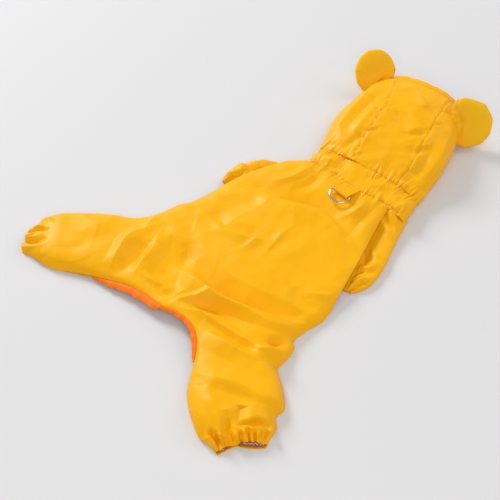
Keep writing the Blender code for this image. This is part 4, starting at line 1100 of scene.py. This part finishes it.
def seam_relief(points, line, puckers):
    """A sewn seam: its groove, the cloth that swells beside it, and its uneven puckers."""
    gap, arc, _ = nearest_on(line, points)
    relief = 0.3 * bell(np.abs(gap) - 3.0, 2.0) - 0.3 * bell(gap, 1.0)
    relief -= 0.16 * (1 + np.sin(arc * 2 * np.pi / 3.9)) * bell(gap, 1.6)
    for start, side, depth in puckers:
        away = np.maximum(gap * side, 0)
        width = 1.5 + 0.20 * away
        wedge = depth * (away / 2.6) * np.exp(1 - away / 2.6)
        past = arc - start - 0.55 * away
        relief += wedge * (0.55 * bell(past - 2.1 * width, width) - 1.25 * bell(past, width))
    return relief


def add_hood(material):
    """The hood's three panels and its hem, and the lines of the two seams on top."""
    sections = smooth_line(HOOD, 1.2)
    sections[0, 0] += SEAM
    seams = {"left": [], "right": []}
    grids = {"hood_side_left": [], "hood_centre": [], "hood_side_right": []}
    tuck_in, tuck_down = ALLOWANCE * 0.8, TUCK + 0.15
    for number, section in enumerate(sections):
        spot = section[:3]
        wiggle = 0.5 * math.sin(number / 4.1) + 0.25 * math.sin(number / 1.9 + 2)
        section[6:] += (wiggle, wiggle * 0.8)
        line = hood_top(section, np.linspace(section[6] - SEAM, section[7] + SEAM, 50))
        line = np.vstack([line[0] + (tuck_in, -tuck_down), line, line[-1] - (tuck_in, tuck_down)])
        grids["hood_centre"].append(place(line, *spot))
        grids["hood_side_left"].append(place(hood_side_line(section, 1), *spot))
        grids["hood_side_right"].append(place(hood_side_line(section, -1), *spot))
        for name, offset in zip(seams, section[6:]):
            seams[name].append(place([(offset, 0)], *spot)[0, :2])
    pieces = []
    for name, rows in grids.items():
        points, faces = np.vstack(rows), grid_faces(len(rows), len(rows[0]))
        relief, up = top_relief(points, faces, HOOD_FOLDS, 4)
        relief += sum(seam_relief(points, np.array(seams[side])[::2], PUCKERS[side])
                      for side in seams)
        pieces.append(cloth_piece(name, relieved(points, faces, relief * up), faces, material))
    return [*pieces, add_hood_hem(material)], seams


def add_hood_hem(material):
    """The hem band goes on from the hood's front edge, over the top and under both sides."""
    front = np.array(HOOD[-1], dtype=float)
    spot, turn = front[:3], front[2]
    line = np.vstack([hood_side_line(front, 1)[:-1],
                      hood_top(front, np.linspace(front[6], front[7], 44)),
                      hood_side_line(front, -1)[1:]])
    across = arc_of(line)
    wave = 0.3 * np.sin(across / 4.3) + 0.25 * np.sin(across / 2.1 + 1)
    raised = np.clip(line[:, 1] / 12, 0, 1)
    rows = [tucked_row(place(line, *spot), -ALLOWANCE, turn)]
    for along in (SEAM, 0.8, 1.6, 2.4, 3.6, 5.0, 6.2, 7.2, 7.8, HEM_WIDTH):
        share = along / HEM_WIDTH
        shrink = 1.0 + 0.012 * math.sin(math.pi * share) - 0.012 * share ** 2
        row = place(line * shrink, *spot) + heading(turn) * along
        row[:, 2] += raised * (wave * share - 0.45 * bell(along - 1.6, 0.7))
        rows.append(row)
    points = np.vstack(rows)
    points[:, 2] = np.maximum(points[:, 2], 0)
    return cloth_piece("hood_hem", points, grid_faces(len(rows), len(line)), material, wall=1.5)


# ---------------------------------------------------------------- ears
def ear_outline(side, angles):
    """Radius at each angle: nearly straight runs between the corners that the seam pulls up."""
    corners = np.sort(np.radians(EAR_CORNERS[side]) % (2 * np.pi))
    radius = np.ones(len(angles))
    for first, second in zip(corners, np.roll(corners, -1)):
        span = (second - first) % (2 * np.pi)
        offset = (angles - first) % (2 * np.pi)
        inside = (offset < span) & (span < np.radians(70))
        radius[inside] = 0.35 + 0.65 * np.cos(span / 2) / np.cos(offset[inside] - span / 2)
    return radius * EAR_RADIUS


def add_ear(side, material, segments=132, rings=20):
    """A filled ear: two layers sewn at the rim, pinched flat where the hood's seam takes it."""
    middle, base, wide, tall, seam = EARS[side]
    azimuth, elevation = np.radians(EAR_WAY)
    face = np.array([math.cos(azimuth) * math.cos(elevation),
                     math.sin(azimuth) * math.cos(elevation), math.sin(elevation)])
    level = unit(np.cross((0, 0, 1), face))
    angles = 2 * np.pi * np.arange(segments) / segments
    sewn = ear_outline(side, angles)
    toward = np.cos(angles - math.radians(base))
    cut = seam * EAR_RADIUS / np.maximum(toward, 1e-3)
    plan = (np.outer(np.cos(angles) * wide, level)
            + np.outer(np.sin(angles) * tall, np.cross(face, level)))
    puckers = 0.5 * np.sin(angles * 17 + 1.4 * np.sin(angles * 3)) + 0.4 * np.sin(angles * 29 + 1)
    at_base = np.clip(1.35 - cut / EAR_RADIUS, 0, 1) * (toward > 0)

    def ring(share, sign):
        radius = EAR_RADIUS + (sewn - EAR_RADIUS) * share ** 3
        radius = np.where(toward > 0, 1 / (radius ** -8 + cut ** -8) ** 0.125, radius)
        bulge = EAR_HALF * (1 - share ** 2.4) ** 0.55 * (1 - 0.25 * at_base * share)
        bulge += puckers * (share ** 8) * (1 - share) * 7 * (1 + 2.5 * at_base)
        bulge -= 2.8 * bell(share * toward - seam + 0.26, 0.08) * (0.65 + 0.35 * np.sin(angles * 5))
        bulge += (sign * 0.9 * np.sin(2.6 * share * np.cos(angles - 1.1) + middle[0])
                  * (1 - share ** 2))
        return middle + plan * (radius * share)[:, None] + face * (sign * bulge)[:, None]

    shares = np.sin(0.5 * np.pi * np.arange(1, rings) / rings) ** 0.9
    points = np.vstack([middle + face * EAR_HALF, *[ring(share, 1) for share in shares],
                        ring(1.0, 1), *[ring(share, -1) for share in shares[::-1]],
                        middle - face * EAR_HALF])
    around = 2 * rings - 1
    last, first_of_last = len(points) - 1, 1 + (around - 1) * segments
    faces = (grid_faces(around, segments, closed=True)[:, ::-1] + 1).tolist()
    for number in range(segments):
        after = (number + 1) % segments
        faces += [(0, 1 + number, 1 + after), (last, first_of_last + after, first_of_last + number)]
    obj = add_mesh("ear_" + side, points, faces, material)
    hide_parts(f"ear_{side}_front", f"ear_{side}_back")


# ---------------------------------------------------------------- leash tab and ring
def add_leash_tab(material):
    """A strip folded round the ring's bar, both ends in the neck band's seam."""
    bar_x, bar_y, bar_z = RING_BAR
    reach = WIRE + 0.35 + TAB_WALL
    root = NECK_X - NECK_SAG + 1.4
    low, high = bar_z - reach, bar_z - reach + 2 * TAB_WALL + 0.4
    loop = [(bar_x - reach * math.cos(angle), bar_z + reach * math.sin(angle))
            for angle in np.linspace(-math.pi / 2, math.pi / 2, 9)]
    path = smooth_line([(root, 18.6), (143.5, 19.9), (139.5, low), (134, low), *loop,
                        (133.5, bar_z + reach * 0.6), (137.5, high + 0.2), (140.5, high - 0.2),
                        (143.8, 21.8), (root, 19.8)], 0.9)
    across = np.linspace(1, -1, 15)
    points = np.array([(x, bar_y + side * TAB_WIDTH / 2, z) for x, z in path for side in across])
    side = np.tile(across, len(path))
    skew = np.clip((points[:, 0] - 138) / (root - 138), 0, 1) * math.tan(math.radians(NECK_TURN))
    points[:, 0] -= skew * (points[:, 1] - NECK_Y)
    points[:, 2] += 0.18 * np.sin(points[:, 0] / 2.1 + 2 * side) * (points[:, 2] > bar_z)
    return cloth_piece("leash_tab", points, grid_faces(len(path), len(across)), material,
                       wall=TAB_WALL)


def add_ring(material, sides=18):
    """The D-ring: a straight bar, two bent corners and the bow, drooping from the tab."""
    corner = [(RING_BEND * (math.sin(angle) - 1), RING_HALF + RING_BEND * (math.cos(angle) - 1))
              for angle in np.linspace(math.pi / 2, 0, 9)]
    straight = -RING_BEND - 1.0
    bow = [(straight - (RING_REACH + straight) * math.sin(angle), RING_HALF * math.cos(angle))
           for angle in np.linspace(0, math.pi, 49)]
    bar = [(0.0, y) for y in np.linspace(-RING_HALF + RING_BEND, RING_HALF - RING_BEND, 13)[1:-1]]
    path = np.array(corner + bow + [(x, -y) for x, y in corner[::-1]] + bar)
    across = rightward(np.roll(path, -1, axis=0) - np.roll(path, 1, axis=0))[:, None]
    angles = 2 * np.pi * np.arange(sides)[:, None] / sides
    points = (np.column_stack([path, np.zeros(len(path))])[:, None]
              + WIRE * (across * np.cos(angles) + (0, 0, 1) * np.sin(angles))).reshape(-1, 3)
    ahead = heading(RING_DROOP)
    turned = np.column_stack([points[:, 0] * ahead[0] + points[:, 2] * ahead[1], points[:, 1],
                              points[:, 2] * ahead[0] - points[:, 0] * ahead[1]])
    faces = grid_faces(len(path) + 1, sides, closed=True) % len(points)
    obj = add_mesh("leash_ring", turned + RING_BAR, faces[:, ::-1], material, "leash_ring")
    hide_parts("d_ring")


# ---------------------------------------------------------------- stitches
def surface_of(objects):
    """A tree of the given pieces' faces, in millimetres, to drop points on."""
    points, faces = [], []
    for obj in objects:
        first = len(points)
        points += [vertex.co / MM for vertex in obj.data.vertices]
        faces += [[first + corner for corner in polygon.vertices] for polygon in obj.data.polygons]
    return BVHTree.FromPolygons(points, faces)


def dropped(tree, line, height=90.0):
    """A plan line's points on the surface below them, with the surface's normals."""
    spots = []
    for x, y in np.asarray(line)[:, :2].tolist():
        spot, normal, _, _ = tree.ray_cast(Vector((x, y, height)), Vector((0, 0, -1)))
        if spot is not None:
            spots.append((np.array(spot), np.array(normal)))
    return spots


def stitched(spots, pitch, length, thread):
    """Capsules along a line of spots, one for each stitch: lists of points and faces."""
    line = np.array([spot + normal * thread * 0.35 for spot, normal in spots])
    normals = np.array([normal for _, normal in spots])
    arc = arc_of(line)
    points, faces = [], []
    for start in np.arange(pitch * 0.3, arc[-1] - length, pitch):
        places = start + length * np.array([0.0, 0.12, 0.5, 0.88, 1.0])
        middle = np.column_stack([np.interp(places, arc, column) for column in line.T])
        up = np.array([np.interp(start, arc, column) for column in normals.T])
        ahead = middle[-1] - middle[0]
        across = unit(np.cross(ahead, up))
        up = unit(np.cross(across, ahead))
        first = len(points)
        for spot, share in zip(middle, (0.25, 0.85, 1.0, 0.85, 0.25)):
            for angle in np.arange(6) * np.pi / 3:
                points.append(spot + thread * share * (across * np.cos(angle) + up * np.sin(angle)))
        faces += (grid_faces(5, 6, closed=True) + first).tolist()
        faces += [list(range(first + 5, first - 1, -1)), list(range(first + 24, first + 30))]
    return points, faces


def add_stitches(name, rows, material, slot, *sizes):
    """One piece with the stitches of several rows of spots: pitch, length and thread's radius."""
    points, faces = [], []
    for spots in rows:
        if len(spots) > 2:
            more, corners = stitched(spots, *sizes)
            faces += [[corner + len(points) for corner in face] for face in corners]
            points += more
    obj = add_mesh(name, np.array(points), faces, material)


def add_topstitching(tree, seams):
    """Rows on the hood's seams, its hem, both gathered rows of the neck, and the leash tab."""
    front = HOOD[-1]
    hem = place([(offset, 0) for offset in np.linspace(front[3] * 0.9, -front[4] * 0.9, 80)],
                *front[:3]) + heading(front[2]) * 1.7
    lines = [inset(smooth_line(seams["left"][::4], 1.0), -0.7),
             inset(smooth_line(seams["right"][::4], 1.0), 0.7), hem,
             *[smooth_line(row[0][1:-1], 1.0) for row in neck_rows()],
             [(141.5, RING_BAR[1] + offset) for offset in np.linspace(-8.4, 8.4, 12)]]
    # The stitches' dark amber is partly painted shade of their holes and puckers.
    add_stitches("topstitching", [dropped(tree, line) for line in lines],
                 plain_material("thread_painted_shade", THREAD_SHADE_AMBER, 0.6), "coat_cloth", 3.4, 2.2, 0.22)


def add_cuff_marks(tree):
    """White zigzag stitches on the elastic that shows in the right rear cuff's mouth."""
    x, y, turn = CUFFS["rear_right"]
    rows = []
    for sides, reaches in (((4.5, 23.0), (6.2, 9.2)), ((-17.0, -11.0), (10.6, 8.8))):
        side = np.arange(*sides, 1.5)
        along = np.interp(side, sides, reaches) + 1.1 * (-1.0) ** np.arange(len(side))
        line = place(np.column_stack([side, side * 0]), x, y, turn)
        rows.append(dropped(tree, line + along[:, None] * heading(turn), 3.6))
    add_stitches("cuff_marks", rows, plain_material("white_thread", WHITE, 0.6), "elastic",
                 2.1, 1.9, 0.34)


# ---------------------------------------------------------------- the stage
def add_object(name, data):
    obj = bpy.data.objects.new(name, data)
    bpy.context.scene.collection.objects.link(obj)
    return obj


def look_at(obj, place_from, aim):
    obj.location = place_from
    obj.rotation_euler = (Vector(aim) - obj.location).to_track_quat("-Z", "Y").to_euler()


def add_floor():
    floor = bpy.data.meshes.new("floor")
    floor.from_pydata([(-6, -6, 0), (6, -6, 0), (6, 6, 0), (-6, 6, 0)], [], [(0, 1, 2, 3)])
    floor.materials.append(plain_material("floor_paper", PAPER, 0.7))
    add_object("floor", floor)


def add_light(name, azimuth, elevation, distance, size, power, colour=(1, 1, 1)):
    """A square lamp that looks at the coat from a direction in the frame, in degrees and metres."""
    lamp = bpy.data.lights.new(name, "AREA")
    lamp.size = size
    lamp.energy = power
    lamp.color = colour
    azimuth, elevation = np.radians((azimuth, elevation))
    flat = math.cos(elevation) * distance
    look_at(add_object(name, lamp), (0.05 + flat * math.cos(azimuth), flat * math.sin(azimuth),
                                     math.sin(elevation) * distance), (0.05, 0, 0))


def add_camera():
    lens = bpy.data.cameras.new("camera")
    lens.lens = 72.0
    lens.sensor_width = 36.0
    camera = add_object("camera", lens)
    look_at(camera, (-0.4514, -0.5103, 0.7729), (0.0151, 0.0060, 0.0))
    bpy.context.scene.camera = camera


def add_studio():
    world = bpy.data.worlds.new("studio")
    world.use_nodes = True
    connect(world.node_tree, world.node_tree.nodes["Background"],
            {"Color": (1.0, 0.955, 0.93, 1), "Strength": 0.42})
    bpy.context.scene.world = world
    bpy.context.scene.view_settings.view_transform = "Standard"
    add_light("key", 84, 29, 3.2, 1.1, 73.0, (0.965, 1.0, 1.025))
    add_light("fill", 226, 44, 1.8, 1.3, 11.5)
    add_light("side", -16, 36, 2.2, 1.2, 10.8)


# ---------------------------------------------------------------- all of it
noise.seed_set(NOISE_SEED)
add_studio()
add_camera()
add_floor()
cloth = cloth_material("coat_cloth", YELLOW)
# The ears take a lighter copy of the coat's cloth: painted light.
ear_cloth = cloth_material("ear_cloth", EAR_LIT_YELLOW, roughness=0.5)
tape = cloth_material("binding_tape", ORANGE, roughness=0.45, tone=0.06)
elastic = cloth_material("elastic_webbing", BROWN, roughness=0.8, tone=0.2)
nickel = metal_material()
back = add_back(cloth)
add_under_panels(cloth)
linings = [add_cuff(cuff_name, cloth, elastic) for cuff_name in CUFFS]
add_cuff_marks(surface_of(linings))
for side_name in ("left", "right"):
    add_sleeve(side_name, cloth)
add_tail_binding(tape)
band = add_neck_band(cloth)
hood, hood_seams = add_hood(cloth)
for side_name in EARS:
    add_ear(side_name, ear_cloth)
tab = add_leash_tab(cloth)
add_ring(nickel)
add_topstitching(surface_of([back, band, tab, *hood]), hood_seams)
